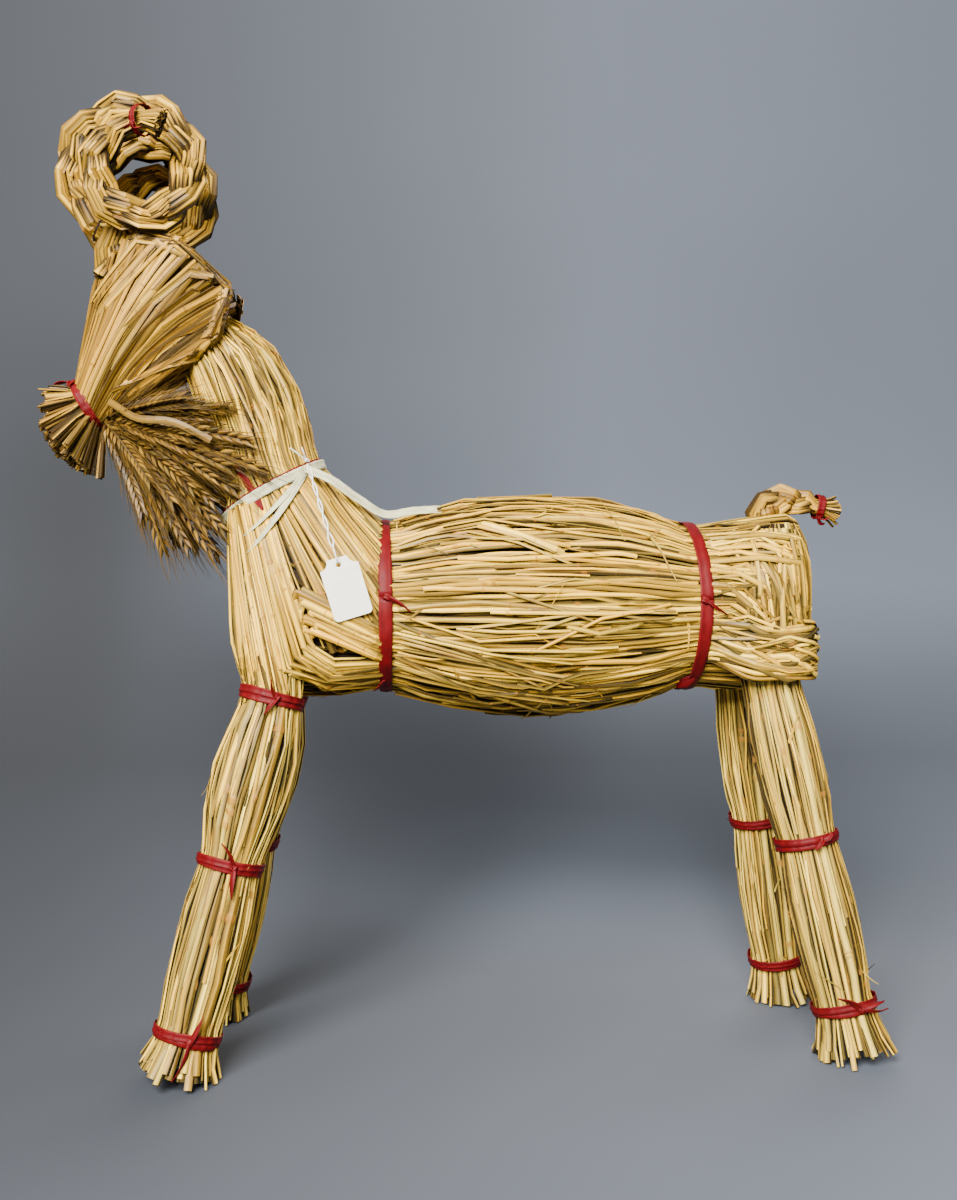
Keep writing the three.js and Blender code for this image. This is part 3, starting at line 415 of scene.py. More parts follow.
# Painted shade on the sides of each stalk, as dark as the group's input sets.
side_light = make("MapRange", {0: gap, 1: 0.12, 2: 0.62, 3: 1.0, 4: stalk_in.outputs["Painted Shade"]}).outputs[0]
light = number(make, "MULTIPLY", number(make, "MULTIPLY", streaky, stalk_light),
    number(make, "MULTIPLY", layer_light, side_light))
grey_light = make("CombineColor", {0: light, 1: light, 2: light}).outputs[0]
base = blend(make, 1.0, base, grey_light, "MULTIPLY")
spotted = make("MapRange", {0: specks, 1: 0.66, 2: 0.74, 3: 0.0, 4: 1.0}).outputs[0]
spotted = number(make, "MULTIPLY", spotted, stalk_in.outputs["Grime"])
base = blend(make, spotted, base, stalk_in.outputs["Brown"])
base = blend(make, number(make, "MULTIPLY", joint, 0.6), base, stalk_in.outputs["Brown"])
# Painted shade: a bundle's core is coloured near black.
core_shade = number(make, "LESS_THAN", tone, -0.5)
base = blend(make, core_shade, base, (0.02, 0.009, 0.002, 1))
rough = make("MapRange", {0: patches, 1: 0.3, 2: 0.7, 3: 0.4, 4: 0.6}).outputs[0]
stalk_group.links.new(base, stalk_out.inputs["Color"])
dull = number(make, "MAXIMUM", number(make, "MULTIPLY", core_shade, 0.9),
    number(make, "SUBTRACT", 1.0, number(make, "MULTIPLY", side_light, layer_light)))
stalk_group.links.new(number(make, "MAXIMUM", rough, dull), stalk_out.inputs["Roughness"])
stalk_group.links.new(fibres, stalk_out.inputs["Height"])
print("stalk group:", len(stalk_group.nodes), "nodes")

# %% [markdown]
# Each part of the goat has its own straw: the barrel and the legs are sunny, the head, the horns and the
# beard are browner. So one function makes the material, and a palette of four colours tells them apart.

# %% Kinds of straw
def straw(name, pale, gold, brown, grey, grime=0.3, edge=0.1, bump=0.00012):
    """A kind of straw from its four colours, with its dirt and how dark the painted shade between its stalks
    goes.
    """
    material, _, shader = new_material(name)
    palette = {"Pale": (*pale, 1), "Gold": (*gold, 1), "Brown": (*brown, 1), "Grey": (*grey, 1)}
    stalks = place_group(shader, stalk_group, {**palette, "Grime": grime, "Painted Shade": edge})
    dress_shader(shader, stalks["Color"], stalks["Roughness"], stalks["Height"], bump, 0.6)
    shader.inputs["Specular IOR Level"].default_value = 0.22
    shader.inputs["Coat Weight"].default_value = 0.03
    shader.inputs["Coat Roughness"].default_value = 0.25
    return material


barrel_straw = straw("barrel straw", (1.0, 0.64, 0.06), (0.86, 0.44, 0.01), (0.27, 0.1, 0.006),
    (0.42, 0.29, 0.05))
leg_straw = straw("leg straw", (1.0, 0.72, 0.12), (0.92, 0.5, 0.022), (0.3, 0.12, 0.01), (0.4, 0.28, 0.05),
    0.4, 0.04)
head_straw = straw("head straw", (0.68, 0.38, 0.03), (0.42, 0.2, 0.008), (0.15, 0.055, 0.005),
    (0.24, 0.16, 0.02), 0.5, 0.13)
horn_straw = straw("horn straw", (0.8, 0.46, 0.035), (0.5, 0.25, 0.01), (0.18, 0.07, 0.006),
    (0.3, 0.19, 0.02), 0.4, 0.07)
brush_straw = straw("muzzle straw", (0.56, 0.32, 0.04), (0.33, 0.16, 0.014), (0.12, 0.05, 0.006),
    (0.22, 0.15, 0.03), 0.5, 0.14)
print("straw finishes:", [m.name for m in bpy.data.materials if "straw" in m.name])

# %% [markdown]
# ## Bundles
# Every part of the goat is a bundle: a middle line with an oval section that swells and narrows. The
# rows of sections below are the ones of the frame, so the stalks lie exactly on its solids.

# %% The bundle class and the barrel's bundle
class Bundle:
    """Sections along a middle line: a centre, a way up, a way across and half a size each way."""

    def __init__(self, rows):
        centre, tall, wide, half_tall, half_wide = (np.array(column, float) for column in zip(*rows))
        self.rows = np.hstack([centre, unit(tall), unit(wide), half_tall[:, None], half_wide[:, None]])
        steps = np.linalg.norm(np.diff(centre, axis=0), axis=1)
        self.length = steps.sum()
        self.keys = np.concatenate([[0], np.cumsum(steps)]) / self.length
        self.ribs, self.rib_depth = 1, 0.0

    def surface(self, share, angle, depth=0.0):
        """Points on the bundle at shares of its length, angles round it and depths under its face."""
        row = curve(self.keys, self.rows, share)
        tall, wide = unit(row[..., 3:6]), unit(row[..., 6:9])
        c, s = np.cos(angle)[..., None], np.sin(angle)[..., None]
        depth = np.broadcast_to(depth, np.shape(share))[..., None]
        depth = depth + self.rib_depth * (1 - np.cos(self.ribs * angle))[..., None]
        out = unit(c * tall + s * wide)
        return row[..., :3] + (row[..., 9:10] - depth) * c * tall + (row[..., 10:11] - depth) * s * wide, out

    def ring(self, share, depth, sides):
        """A closed ring of points round the bundle, under its face."""
        angle = 2 * np.pi * np.arange(sides) / sides
        return self.surface(np.full(sides, float(share)), angle, depth)[0]


sideways, upward = np.array([0, 1.0, 0]), np.array([0, 0, 1.0])
axis_height, barrel_length, tie_radius = 332.5, 232.5, 63.5
belly_tall, belly_wide = 84.5, 80
rump_length, rump_tall, rump_wide = 86, 68, 62
groove = 4.8


def barrel_row(x, tall, wide):
    return [np.array([x, 0, axis_height]), upward, sideways, tall, wide]


def belly_row(share):
    full = math.sin(math.pi * share) ** 0.72
    tall = tie_radius + (belly_tall - tie_radius) * full
    return barrel_row(share * barrel_length, tall, tie_radius + (belly_wide - tie_radius) * full)


barrel_rows = [
    barrel_row(-groove, tie_radius, tie_radius),
    barrel_row(groove, tie_radius, tie_radius),
    *[belly_row(share) for share in (0.13, 0.3, 0.5, 0.7, 0.87)],
    barrel_row(barrel_length - groove, tie_radius, tie_radius),
    barrel_row(barrel_length + groove, tie_radius, tie_radius),
    *[
        barrel_row(barrel_length + run * rump_length, tall * rump_tall, wide * rump_wide)
        for run, tall, wide in ((0.25, 0.96, 1.04), (0.6, 1, 1.02), (0.88, 0.97, 0.96), (1, 0.84, 0.8))
    ],
]
barrel = Bundle(barrel_rows)
barrel.ribs, barrel.rib_depth = 19, 0.8
floor_clearance = 0.9
print("barrel bundle", round(barrel.length), "mm")

# %% [markdown]
# ## Laying stalks on a bundle
# Real stalks are not evenly spaced: thick and thin ones lie side by side, wander a little, lift off the
# bundle between two ties and carry a joint somewhere. Under a ribbon they are squeezed.

# %% Lay stalks along a bundle
def joint_shares(count, steps, start, end, joints_each=1, reach=0.006):
    """Shares along each stalk with three extra ones at each joint, and the joint's mask."""
    even = np.linspace(0, 1, steps)[None] + dice.uniform(-0.3, 0.3, (count, steps)) / steps
    even[:, 0], even[:, -1] = 0, 1
    places = dice.uniform(0.08, 0.92, (count, joints_each, 1)) + np.array([-1.6, -0.5, 0.5, 1.6]) * reach
    mask = np.tile([0.0, 1.0, 1.0, 0.0], (count, joints_each, 1))
    share = np.concatenate([even, places.reshape(count, -1)], 1)
    mask = np.concatenate([np.zeros((count, steps)), mask.reshape(count, -1)], 1)
    order = np.argsort(share, 1)
    share, mask = np.take_along_axis(share, order, 1), np.take_along_axis(mask, order, 1)
    start, end = (np.broadcast_to(np.asarray(v, float).reshape(-1, 1), (count, 1)) for v in (start, end))
    return start + (end - start) * share, mask


def waves(share, size, count, rate=(0.6, 2.2)):
    """A slow random wander for each stalk."""
    pace = dice.uniform(*rate, (count, 1)) * 2 * np.pi
    return size * dice.normal(0, 1, (count, 1)) * np.sin(pace * share + dice.uniform(0, 2 * np.pi,
        (count, 1)))


def kinked(bundle, share, angle, depth, ties, bends, wander, lift):
    """Stalks that run straight between a few bends each, and lie close to the bundle at its ties."""
    count = len(share)
    held = np.repeat(np.array([[0.0, *ties, 1.0]]), count, 0)
    free = np.concatenate([dice.uniform(low, high, (count, 1)) for low, high in bends], 1)
    knots = np.concatenate([held, free], 1)
    loose = np.concatenate([np.zeros(held.shape), np.ones(free.shape)], 1)
    loose[:, 0] = loose[:, len(ties) + 1] = 0.6
    order = np.argsort(knots, 1)
    knots, loose = np.take_along_axis(knots, order, 1), np.take_along_axis(loose, order, 1)
    around = angle + wander * dice.normal(0, 1, knots.shape) * loose
    under = depth - lift * np.abs(dice.normal(0, 1, knots.shape)) * loose
    corners, outs = bundle.surface(knots, around, under)
    rows = lambda values: np.stack([
        np.stack([np.interp(share[i], knots[i], values[i, :, axis]) for axis in range(3)], -1)
        for i in range(count)])
    return rows(corners), rows(outs)


def lay_on(sheaf, bundle, count, steps, radius=(1.2, 2.4), depth=1.0, span=(0, 1), wander=0.03, lift=0.8,
           angles=None, ties=(), bends=((0.3, 0.7),), flat=(0.45, 0.9), joints=1, tone=(0, 1), hollow=False,
           skew=1.5, roll=0.35):
    """Lays stalks round a bundle, or along given angles, from one share of its length to another."""
    if angles is None:
        angles = 2 * np.pi * (np.arange(count) + dice.uniform(-0.4, 0.4, count)) / count
    start = span[0] if np.ndim(span[0]) else np.full(count, float(span[0]))
    end = span[1] if np.ndim(span[1]) else np.full(count, float(span[1]))
    share, mask = joint_shares(count, steps, start, end, joints)
    size = radius[0] + (radius[1] - radius[0]) * dice.uniform(0, 1, (count, 1)) ** skew
    own_depth = depth + dice.uniform(-0.9, 0.9, (count, 1))
    path, out = kinked(bundle, share, angles[:, None], own_depth, ties, bends, wander, lift)
    path[..., 2] = np.maximum(path[..., 2], floor_clearance)
    tones = dice.uniform(*tone, count)
    sheaf.lay(path, out, size * (1 + 0.16 * mask), dice.uniform(*flat, (count, 1)), 6, tones, mask, hollow,
        roll)


def lay_core(sheaf, bundle, depth, sides=28, steps=24, span=(0.0, 1.0)):
    """The middle of a bundle, so that no light comes through between its stalks, coloured near black as
    painted shade.
    """
    sheaf.core([bundle.ring(share, depth, sides) for share in np.linspace(*span, steps)])


def shreds(sheaf, bundle, count, span=(0.1, 0.95), peel=(1.5, 6.5)):
    """Thin torn leaves that come off a bundle."""
    t = np.linspace(0, 1, 8)
    for _ in range(count):
        share = dice.uniform(*span) + t * dice.uniform(9, 26) / bundle.length * dice.choice([-1, 1])
        around = dice.uniform(0, 2 * np.pi) + dice.normal(0, 0.3) * t
        line, out = bundle.surface(np.clip(share, *span), around, 0.5 - (1 + dice.uniform(*peel)) * t**2)
        line[:, 2] = np.maximum(line[:, 2], floor_clearance)
        sheaf.lay(line[None], out[None], (dice.uniform(0.7, 1.8) * (1 - 0.75 * t))[None], 0.14, 4,
            dice.uniform(0, 1))


# %% [markdown]
# The barrel takes three layers: one under the others, darkened as painted shade, one that closes it, and
# loose stalks that stray across the grain. Modelled as one ribbed body it would look like carved wood.

# %% Stalks along the barrel
front_tie = groove / barrel.length
rear_tie = (barrel_length + groove) / barrel.length
barrel_ties = (front_tie * 0.3, front_tie * 1.7, rear_tie - front_tie * 0.9, rear_tie + front_tie * 0.9)
belly = [(front_tie + 0.03 + k * 0.165, front_tie + 0.19 + k * 0.165) for k in range(4)]
barrel_bends = [*belly, (rear_tie + 0.04, 0.97)]
barrel_sheaf = Sheaf()
lay_core(barrel_sheaf, barrel, 6.5)
lay_on(barrel_sheaf, barrel, 170, 18, (1.3, 2.6), 4.8, ties=barrel_ties, bends=barrel_bends, tone=(1, 2))
lay_on(barrel_sheaf, barrel, 190, 22, (0.9, 2.6), 2.2, ties=barrel_ties, bends=barrel_bends, wander=0.018,
    lift=1.1, flat=(0.55, 0.95))
strays = 110
lay_on(barrel_sheaf, barrel, strays, 16, (0.7, 2.4), 0.6, ties=barrel_ties[2:], bends=belly[:3], wander=0.06,
    lift=1.4, span=(
    dice.uniform(0.02, 0.35, strays), dice.uniform(0.4, 0.75, strays)), hollow=True)
print("stalks along the barrel:", sum(len(batch[0]) for batch in barrel_sheaf.batches))

# %% [markdown]
# ## Stalks over the sides
# On the chest and the rump the stalks leave their bundles and cross each other. They are drawn in the
# side view, as straight runs between bends, and a relief of the goat's side says how far out they lie.

# %% The relief of a side
relief_cell = 2.5
relief_corner = np.array([-250.0, 225.0])


def side_relief(surfaces, columns=240, rows=168):
    """A grid over the side view that holds how far out the surfaces reach in each cell."""
    relief = np.zeros((columns, rows))
    share, angle = np.meshgrid(np.linspace(0, 1, 400), np.radians(np.arange(0, 360, 1.5)))
    for surface in surfaces:
        points, _ = surface(share, angle)
        place = ((points[..., [0, 2]] - relief_corner) / relief_cell).round().astype(int)
        inside = np.all((place >= 0) & (place < [columns, rows]), -1)
        np.maximum.at(relief, tuple(place[inside].T), np.abs(points[..., 1])[inside])
    for _ in range(2):
        wide = np.pad(relief, 1, mode="edge")
        relief = (4 * relief + wide[:-2, 1:-1] + wide[2:, 1:-1] + wide[1:-1, :-2] + wide[1:-1, 2:]) / 8
    return relief


def reach_at(relief, spots):
    """How far out the relief lies at spots of the side view."""
    place = (spots - relief_corner) / relief_cell
    i = np.clip(place.astype(int), 0, np.array(relief.shape) - 2)
    t, (a, b) = np.clip(place - i, 0, 1), (i[..., 0], i[..., 1])
    near = relief[a, b] * (1 - t[..., 1]) + relief[a, b + 1] * t[..., 1]
    far = relief[a + 1, b] * (1 - t[..., 1]) + relief[a + 1, b + 1] * t[..., 1]
    return near + (far - near) * t[..., 0]


def on_side(relief, side, spots, lift):
    """Places on a side of the goat, and the way out there."""
    step = 4.0
    slopes = [(reach_at(relief, spots + shift) - reach_at(relief, spots - shift)) / (2 * step)
        for shift in step * np.eye(2)]
    path = np.stack([spots[..., 0], side * (reach_at(relief, spots) + lift), spots[..., 1]], -1)
    return path, unit(np.stack([-slopes[0], side * np.ones_like(slopes[0]), -slopes[1]], -1))


def lay_side(sheaf, relief, side, corners, steps=14, radius=(1.1, 2.7), lift=(0.0, 3.5), flat=(0.35, 0.7),
        tone=(0, 1),
             skew=1.4, hollow=True, roll=0.3, held=(0.1, 0.1)):
    """Stalks over a side. corners are (stalks, corners, 2) places in the side view."""
    corners = np.asarray(corners, float)
    count = len(corners)
    run = running_length(corners)
    run /= run[:, -1:]
    share, mask = joint_shares(count, steps, 0, 1)
    share, mask = np.hstack([share, run[:, 1:-1]]), np.hstack([mask, 0 * run[:, 1:-1]])
    order = np.argsort(share, 1)
    share, mask = np.take_along_axis(share, order, 1), np.take_along_axis(mask, order, 1)
    spots = np.stack([np.stack([np.interp(share[i], run[i], corners[i, :, k]) for k in (0, 1)], -1)
        for i in range(count)])
    ease = np.minimum(np.minimum(share / held[0], (1 - share) / held[1]), 1)
    up = dice.uniform(*lift, (count, 1)) * ease - 1.0 * (1 - ease) + dice.normal(0, 0.8, (count, 1)) * (share
        - 0.5)
    path, out = on_side(relief, side, spots, up)
    size = radius[0] + (radius[1] - radius[0]) * dice.uniform(0, 1, (count, 1)) ** skew
    sheaf.lay(path, out, size * (1 + 0.16 * mask), dice.uniform(*flat, (count, 1)), 6,
        dice.uniform(*tone, count), mask, hollow, roll)


# %% [markdown]
# A few bands of stalks cross the barrel's sides, low behind the chest and near its back. They are what
# keeps the barrel from looking combed. Two broad pale ones are copied by place, because the eye finds
# them at once on the real goat. Thin torn leaves stand off it here and there.

# %% Crossing stalks on the barrel
barrel_relief = side_relief([barrel.surface])
print("the barrel's relief reaches", round(barrel_relief.max()), "mm out")


def banded(count, spots, loose):
    """Lines through about the same spots of the side view."""
    spots = np.array(spots, float)
    return spots + dice.normal(0, 1, (count, *spots.shape)) * np.array(loose)[:, None]


for side in (-1, 1):
    low = np.linspace(0, -40, 12)[:, None, None] * [0, 1]
    lay_side(barrel_sheaf, barrel_relief, side, banded(12, [(5, 324), (70, 307), (135, 301)], (2, 4, 9))
        + low * [[1], [1.1], [1.2]],
             16, (1.0, 2.4), (1.5, 3.0))
    lay_side(barrel_sheaf, barrel_relief, side, banded(3, [(62, 386), (96, 378), (130, 369)], (5, 3, 4)), 14,
        (1.0, 2.2), (1.0, 2.5))
    lay_side(barrel_sheaf, barrel_relief, side, banded(6, [(95, 322), (150, 328), (205, 322)], (12, 4, 7)),
        14, (0.8, 2.2), (1.0, 3.0))
lay_side(barrel_sheaf, barrel_relief, -1, [[(70, 393), (98, 384), (127, 371)]], 12, (2.6, 2.8), (3.5, 4.0),
    tone=(0.02, 0.1))
lay_side(barrel_sheaf, barrel_relief, -1, [[(128, 318), (151, 313), (184, 320)]], 12, (2.4, 2.8), (5.0, 5.5),
    (0.2, 0.3), (0.02, 0.03))
shreds(barrel_sheaf, barrel, 26, (0.04, 0.7))
barrel_sheaf.mesh("barrel_stalks", barrel_straw, replaces=["barrel_straw"])

# %% [markdown]
# ## Chest and neck
# The barrel's stalks go on through the front ribbon, turn up through the chest and are tied again at the
# neck. That is one bundle with a bend in it, whose sections turn from upright to level as it climbs. A
# pipe swept along a curve would pinch at the bend, and rows of sections don't.

# %% Chest and neck bundle
neck_tie = np.array([-84.7, 0, 426.0])
neck_top = np.array([-127.0, 0, 538.0])
neck_along = unit(neck_top - neck_tie)
neck_tall = np.cross(sideways, neck_along)
tie_rise = neck_tie[2] - axis_height


def neck_row(run, radius, bow=0.0):
    return [neck_tie + neck_along * run + neck_tall * bow, neck_tall, sideways, radius, radius]


def chest_row(up_ahead, up_rise, low_ahead, low_rise, wide):
    upper = np.array([-up_ahead * -neck_tie[0], 0, axis_height + up_rise * tie_rise])
    lower = np.array([-low_ahead * -neck_tie[0], 0, axis_height + low_rise * tie_rise])
    tall = upper - lower
    return [(upper + lower) / 2, tall, sideways, np.linalg.norm(tall) / 2, wide * tie_radius]


neck_reach = np.linalg.norm(neck_top - neck_tie)
ties_end = 12.7
neck_rows = [
    barrel_row(-0.5, tie_radius, tie_radius),
    chest_row(0.2, 0.8, 0.45, -0.74, 1),
    chest_row(0.36, 0.91, 0.9, -0.74, 0.96),
    chest_row(0.45, 0.99, 1.27, -0.36, 0.89),
    chest_row(0.51, 1.04, 1.36, 0.28, 0.74),
    neck_row(-4, 38.5),
    neck_row(ties_end, 38.5),
    *[
        neck_row(ties_end + (neck_reach - ties_end) * run, radius, 6 * bow)
        for run, radius, bow in ((0.3, 38.5, 0.8), (0.65, 36.5, 0.8), (0.9, 31, -0.2), (1.08, 22, -1.6))
    ],
]
neck = Bundle(neck_rows)
low_tie, high_tie = neck.keys[5], neck.keys[6]
neck_ties = (low_tie, high_tie)
neck_bends = [(0.05, 0.3 * low_tie), (0.35 * low_tie, 0.6 * low_tie), (0.6 * low_tie, 0.9 * low_tie),
              (high_tie + 0.04, high_tie + 0.2), (high_tie + 0.25, 0.97)]
neck_sheaf = Sheaf()
lay_core(neck_sheaf, neck, 6.5)
rest_angles = np.radians(np.concatenate([np.linspace(-34, 34, 22), np.linspace(146, 214, 22)])
    + dice.normal(0, 1.5, 44))
lay_on(neck_sheaf, neck, 110, 22, (1.3, 2.6), 4.6, ties=neck_ties, bends=neck_bends, tone=(1, 2))
lay_on(neck_sheaf, neck, 100, 13, (0.8, 2.4), 2.2, span=(low_tie - 0.01, 1), ties=neck_ties,
    bends=neck_bends[3:], wander=0.025, lift=0.9)
lay_on(neck_sheaf, neck, 50, 12, (0.7, 2.2), 1.0, span=(low_tie - 0.01, 1), ties=neck_ties,
    bends=neck_bends[3:], wander=0.03, lift=0.9)
lay_on(neck_sheaf, neck, 44, 24, (1.1, 2.6), 2.6, angles=rest_angles, ties=neck_ties, bends=neck_bends,
    wander=0.04, lift=0.7)

# %% [markdown]
# ## Legs
# A leg is a bundle of its own. It runs up into the chest or the rump, is tied at the hip, the knee and
# the ankle, and swells between them. Below the last tie the stalks spread and are cut off level with the
# floor. All four come from one function, with each foot where the frame has it.

# %% Legs
def leg_bundle(hip, foot, knee_share, ankle_share, thigh, top_rows):
    """The sections of a leg from inside the body to its foot."""
    down = unit(foot - hip)
    tall = unit(np.cross(down, sideways))
    wide = unit(np.cross(tall, down))
    wide *= np.sign(wide[1])
    on_leg = lambda share: foot + (hip - foot) * share
    tie = 21.5
    row = lambda centre, radius: [centre, tall, wide, radius, radius]
    pair = lambda centre: [row(centre - down * groove, tie), row(centre + down * groove, tie)]
    span = lambda a, b, radius: [
        row(on_leg(a + (b - a) * s), tie + (radius - tie) * math.sin(math.pi * s)) for s in (0.25, 0.5, 0.75)
    ]
    knee, ankle = on_leg(knee_share), on_leg(ankle_share)
    rows = [
        *top_rows, *pair(hip), *span(1, knee_share, thigh), *pair(knee), *span(knee_share, ankle_share, 24.5),
        *pair(ankle), row(foot - down * 9, 27.5), row(foot, 33.0),
    ]
    bundle = Bundle(rows)
    n = len(top_rows)
    bundle.ties = [(bundle.keys[i] + bundle.keys[i + 1]) / 2 for i in (n, n + 5, n + 10)]
    bundle.stations = [row(p, tie) for p in (hip, knee, ankle)]
    return bundle


def inside_rows(side, *sections):
    """Level sections of a leg's straw inside the body."""
    return [
        [np.array([x, side * y, z]), np.array([1.0, 0, 0]), sideways, tall, wide]
        for x, y, z, tall, wide in sections
    ]


def front_leg(side, back):
    tops = inside_rows(
        side, (-96, 14, 430, 20, 15), (-93, 19, 400, 25, 22), (-90, 28, 350, 26, 25), (-87, 35, 302, 25, 25))
    return leg_bundle(np.array([-83, side * 39, 265.5]), np.array([back - 148, side * 70, 0.0]), 0.557, 0.12,
        29.5, tops)


def rear_leg(side, forward):
    tops = inside_rows(
        side, (296, 22, 402, 16, 16), (292, 31, 385, 25, 26), (290, 37, 345, 28, 27),
        (290, 39, 305, 26.5, 25))
    return leg_bundle(np.array([292, side * 39, 269.0]), np.array([345 - forward, side * 70, 0.0]), 0.587,
        0.14, 25.0, tops)


legs = {
    "front_left": front_leg(-1, 0),
    "front_right": front_leg(1, 11),
    "rear_left": rear_leg(-1, 0),
    "rear_right": rear_leg(1, 7),
}
for name, leg in legs.items():
    sheaf = Sheaf()
    bends = [(0.6 * leg.ties[0], leg.ties[0] * 0.9)]
    for low, high in zip(leg.ties, leg.ties[1:]):
        bends += [(low + (high - low) * 0.2, low + (high - low) * 0.45),
            (low + (high - low) * 0.55, low + (high - low) * 0.8)]
    bends.append((leg.ties[2] + 0.6 * (1 - leg.ties[2]), 0.99))
    pinned = [*leg.keys[1:4], *[tie + side * 0.008 for tie in leg.ties for side in (-1, 1)]]
    lay_core(sheaf, leg, 6.5, 20, 30, (0.02, 0.965))
    top = 0.7 * leg.keys[1] if name.startswith("rear") else 0.0
    lay_on(sheaf, leg, 50, 24, (1.3, 2.5), 4.2, ties=pinned, bends=bends, tone=(1, 2), span=(top, 0.985),
        hollow=True)
    lay_on(sheaf, leg, 42, 28, (1.0, 3.8), 2.4, ties=pinned, bends=bends, wander=0.045, lift=1.0,
        tone=(0, 0.9),
           flat=(0.3, 0.8), joints=2, hollow=True, skew=1.5, span=(top, dice.uniform(0.97, 1.0, 42)))
    lay_on(sheaf, leg, 26, 20, (0.7, 1.7), 1.0, ties=pinned, bends=bends, wander=0.06, lift=0.8, hollow=True,
           span=(0.02, dice.uniform(0.55, 1.0, 26)))
    shreds(sheaf, leg, 16, (leg.keys[3], 0.97))
    sheaf.mesh(f"{name}_leg_stalks", leg_straw, replaces=[f"{name}_leg"])

# %% [markdown]
# ## Chest and rump
# From the neck's tie the stalks fan out: the rear ones run straight to the body's front ribbon, the
# front ones down into the leg, and some between them turn sharply back to the ribbon's lower half.

# %% Chest fan
chest_relief = side_relief([neck.surface, legs["front_left"].surface, Bundle(barrel_rows[:3]).surface])


def chest_lines(count):
    """Stalks from the neck's tie, from its back (0) to the throat (1)."""
    t = np.clip((np.arange(count) + dice.uniform(-0.5, 0.5, count)) / count, 0, 1)
    turn = np.radians(10 + 158 * t)[:, None]
    head = neck_tie[[0, 2]] + 37.5 * np.cos(turn) * neck_tall[[0, 2]] - 6 * (1
        - np.cos(turn)) * neck_along[[0, 2]]
    foot = np.stack([np.interp(t, [0, 0.46, 0.6, 0.75, 1], [-3.5, -3.5, -54, -70, -104]),
                     np.interp(t, [0, 0.46, 0.6, 0.75, 1], [393, 313, 298, 266, 266])], -1)
    foot += dice.normal(0, 1, (count, 2)) * [0.4, 3]
    straight = head + (foot - head) * dice.uniform(0.35, 0.7, (count, 1)) + dice.normal(0, 1.3, (count, 2))
    turned = ((t > 0.58) & (t < 0.75))[:, None]
    inner = np.clip((t - 0.58) / 0.17, 0, 1)[:, None]
    bent = np.array([[(-55, 306)], [(-38, 291)], [(-3.5, 296)]]) + inner * np.array([[(-20, -20)],
        [(-6, -21)], [(0, -23)]])
    bent = bent + dice.normal(0, 1, (3, count, 2)) * np.array([2.5, 2.5, 0.6])[:, None, None]
    return np.stack([head, *[np.where(turned, b, s)
        for b, s in zip(bent, (straight, (straight + foot) / 2, foot))]], 1)


def folded_lines(count):
    """Broad stalks side by side, which rise forwards from the ribbon and are bent down at their ends."""
    t = np.linspace(0, 1, count)[:, None]
    start = [-3.5, 293] + t * [0, 21] + dice.normal(0, 0.8, (count, 2)) * [0, 1]
    bend = [-52, 314] + t * [-10, 29] + dice.normal(0, 2, (count, 2)) * [2, 0.6]
    return np.stack([start, bend, bend + dice.normal([0, -7], [2, 2], (count, 2))], 1)


for side in (-1, 1):
    lay_side(neck_sheaf, chest_relief, side, chest_lines(60), radius=(1.4, 2.8), lift=(-1.5, 0.5),
        tone=(1, 2))
    lay_side(neck_sheaf, chest_relief, side, chest_lines(66), radius=(1.0, 3.0), lift=(0.0, 2.0),
        held=(0.1, 0.25))
    lay_side(neck_sheaf, chest_relief, side, chest_lines(40), radius=(0.7, 2.4), lift=(1.5, 3.0),
        held=(0.1, 0.3))
    lay_side(neck_sheaf, chest_relief, side, folded_lines(8), radius=(2.2, 3.0), lift=(2.6, 3.4),
        tone=(0.35, 1), skew=1)
    lay_side(neck_sheaf, chest_relief, side, folded_lines(4), radius=(1.8, 2.6), lift=(2.8, 3.2),
        tone=(0.2, 1), skew=1)
shreds(neck_sheaf, neck, 14, (0.02, 0.95))
neck_sheaf.mesh("neck_stalks", barrel_straw, replaces=["neck_straw"])

# %% [markdown]
# On the rump broad stalks come up out of each hind leg. The barrel's last stalks end under them, and
# others arch over the top and turn down at the back.

# %% Rump stalks
rump_relief = side_relief([barrel.surface, legs["rear_left"].surface])
rump_sheaf = Sheaf()
rump_end = barrel_length + rump_length
rear_half_width, rear_edge = 63, 53


def crown_lines(count, lean):
    """Broad stalks that come up out of the hind leg."""
    place = np.linspace(268, 311, count) + dice.normal(0, 3, count)
    top = np.stack([place + dice.normal(-lean, 8, count), dice.uniform(366, 387, count)], -1)
    middle = np.stack([place + dice.normal(0, 3, count), dice.uniform(330, 360, count)], -1)
    return np.stack([top, middle, np.stack([place + dice.normal(3, 5, count), np.full(count, 284.0)], -1)], 1)


def cross_lines(count):
    """The barrel's last stalks, which end on the rump."""
    start = np.stack([np.full(count, 236.0), dice.uniform(322, 392, count)], -1)
    middle = start + np.stack([dice.uniform(12, 26, count), dice.normal(0, 3, count)], -1)
    drop = np.interp(start[:, 1], [325, 350, 390], [-10, -10, 0])
    end = middle + np.stack([dice.uniform(12, 36, count), drop + dice.normal(0, 9, count)], -1)
    return np.stack([start, middle, np.clip(end, [0, 312], [308, 394])], 1)


def leaf_lines(count):
    """Flat leaves that hang down over the rump."""
    top = np.stack([dice.uniform(266, 302, count), dice.uniform(362, 386, count)], -1)
    foot = top + np.stack([dice.uniform(-8, 24, count), dice.uniform(-58, -22, count)], -1)
    return np.stack([top, (top + foot) / 2 + dice.normal(0, 3, (count, 2)), np.minimum(foot, [312, 400])], 1)


def arch_lines(count):
    """Stalks that run over the rump's top and turn down at its back."""
    level = dice.uniform(364, 386, count)
    start = np.stack([np.full(count, 237.0), level], -1)
    rise = np.stack([dice.uniform(262, 285, count), np.minimum(level + dice.uniform(0, 8, count), 388)], -1)
    turn = np.stack([dice.uniform(298, 312, count), rise[:, 1] - dice.uniform(2, 14, count)], -1)
    return np.stack([start, rise, turn,
        turn + np.stack([dice.uniform(2, 8, count), dice.uniform(-50, -18, count)], -1)], 1)


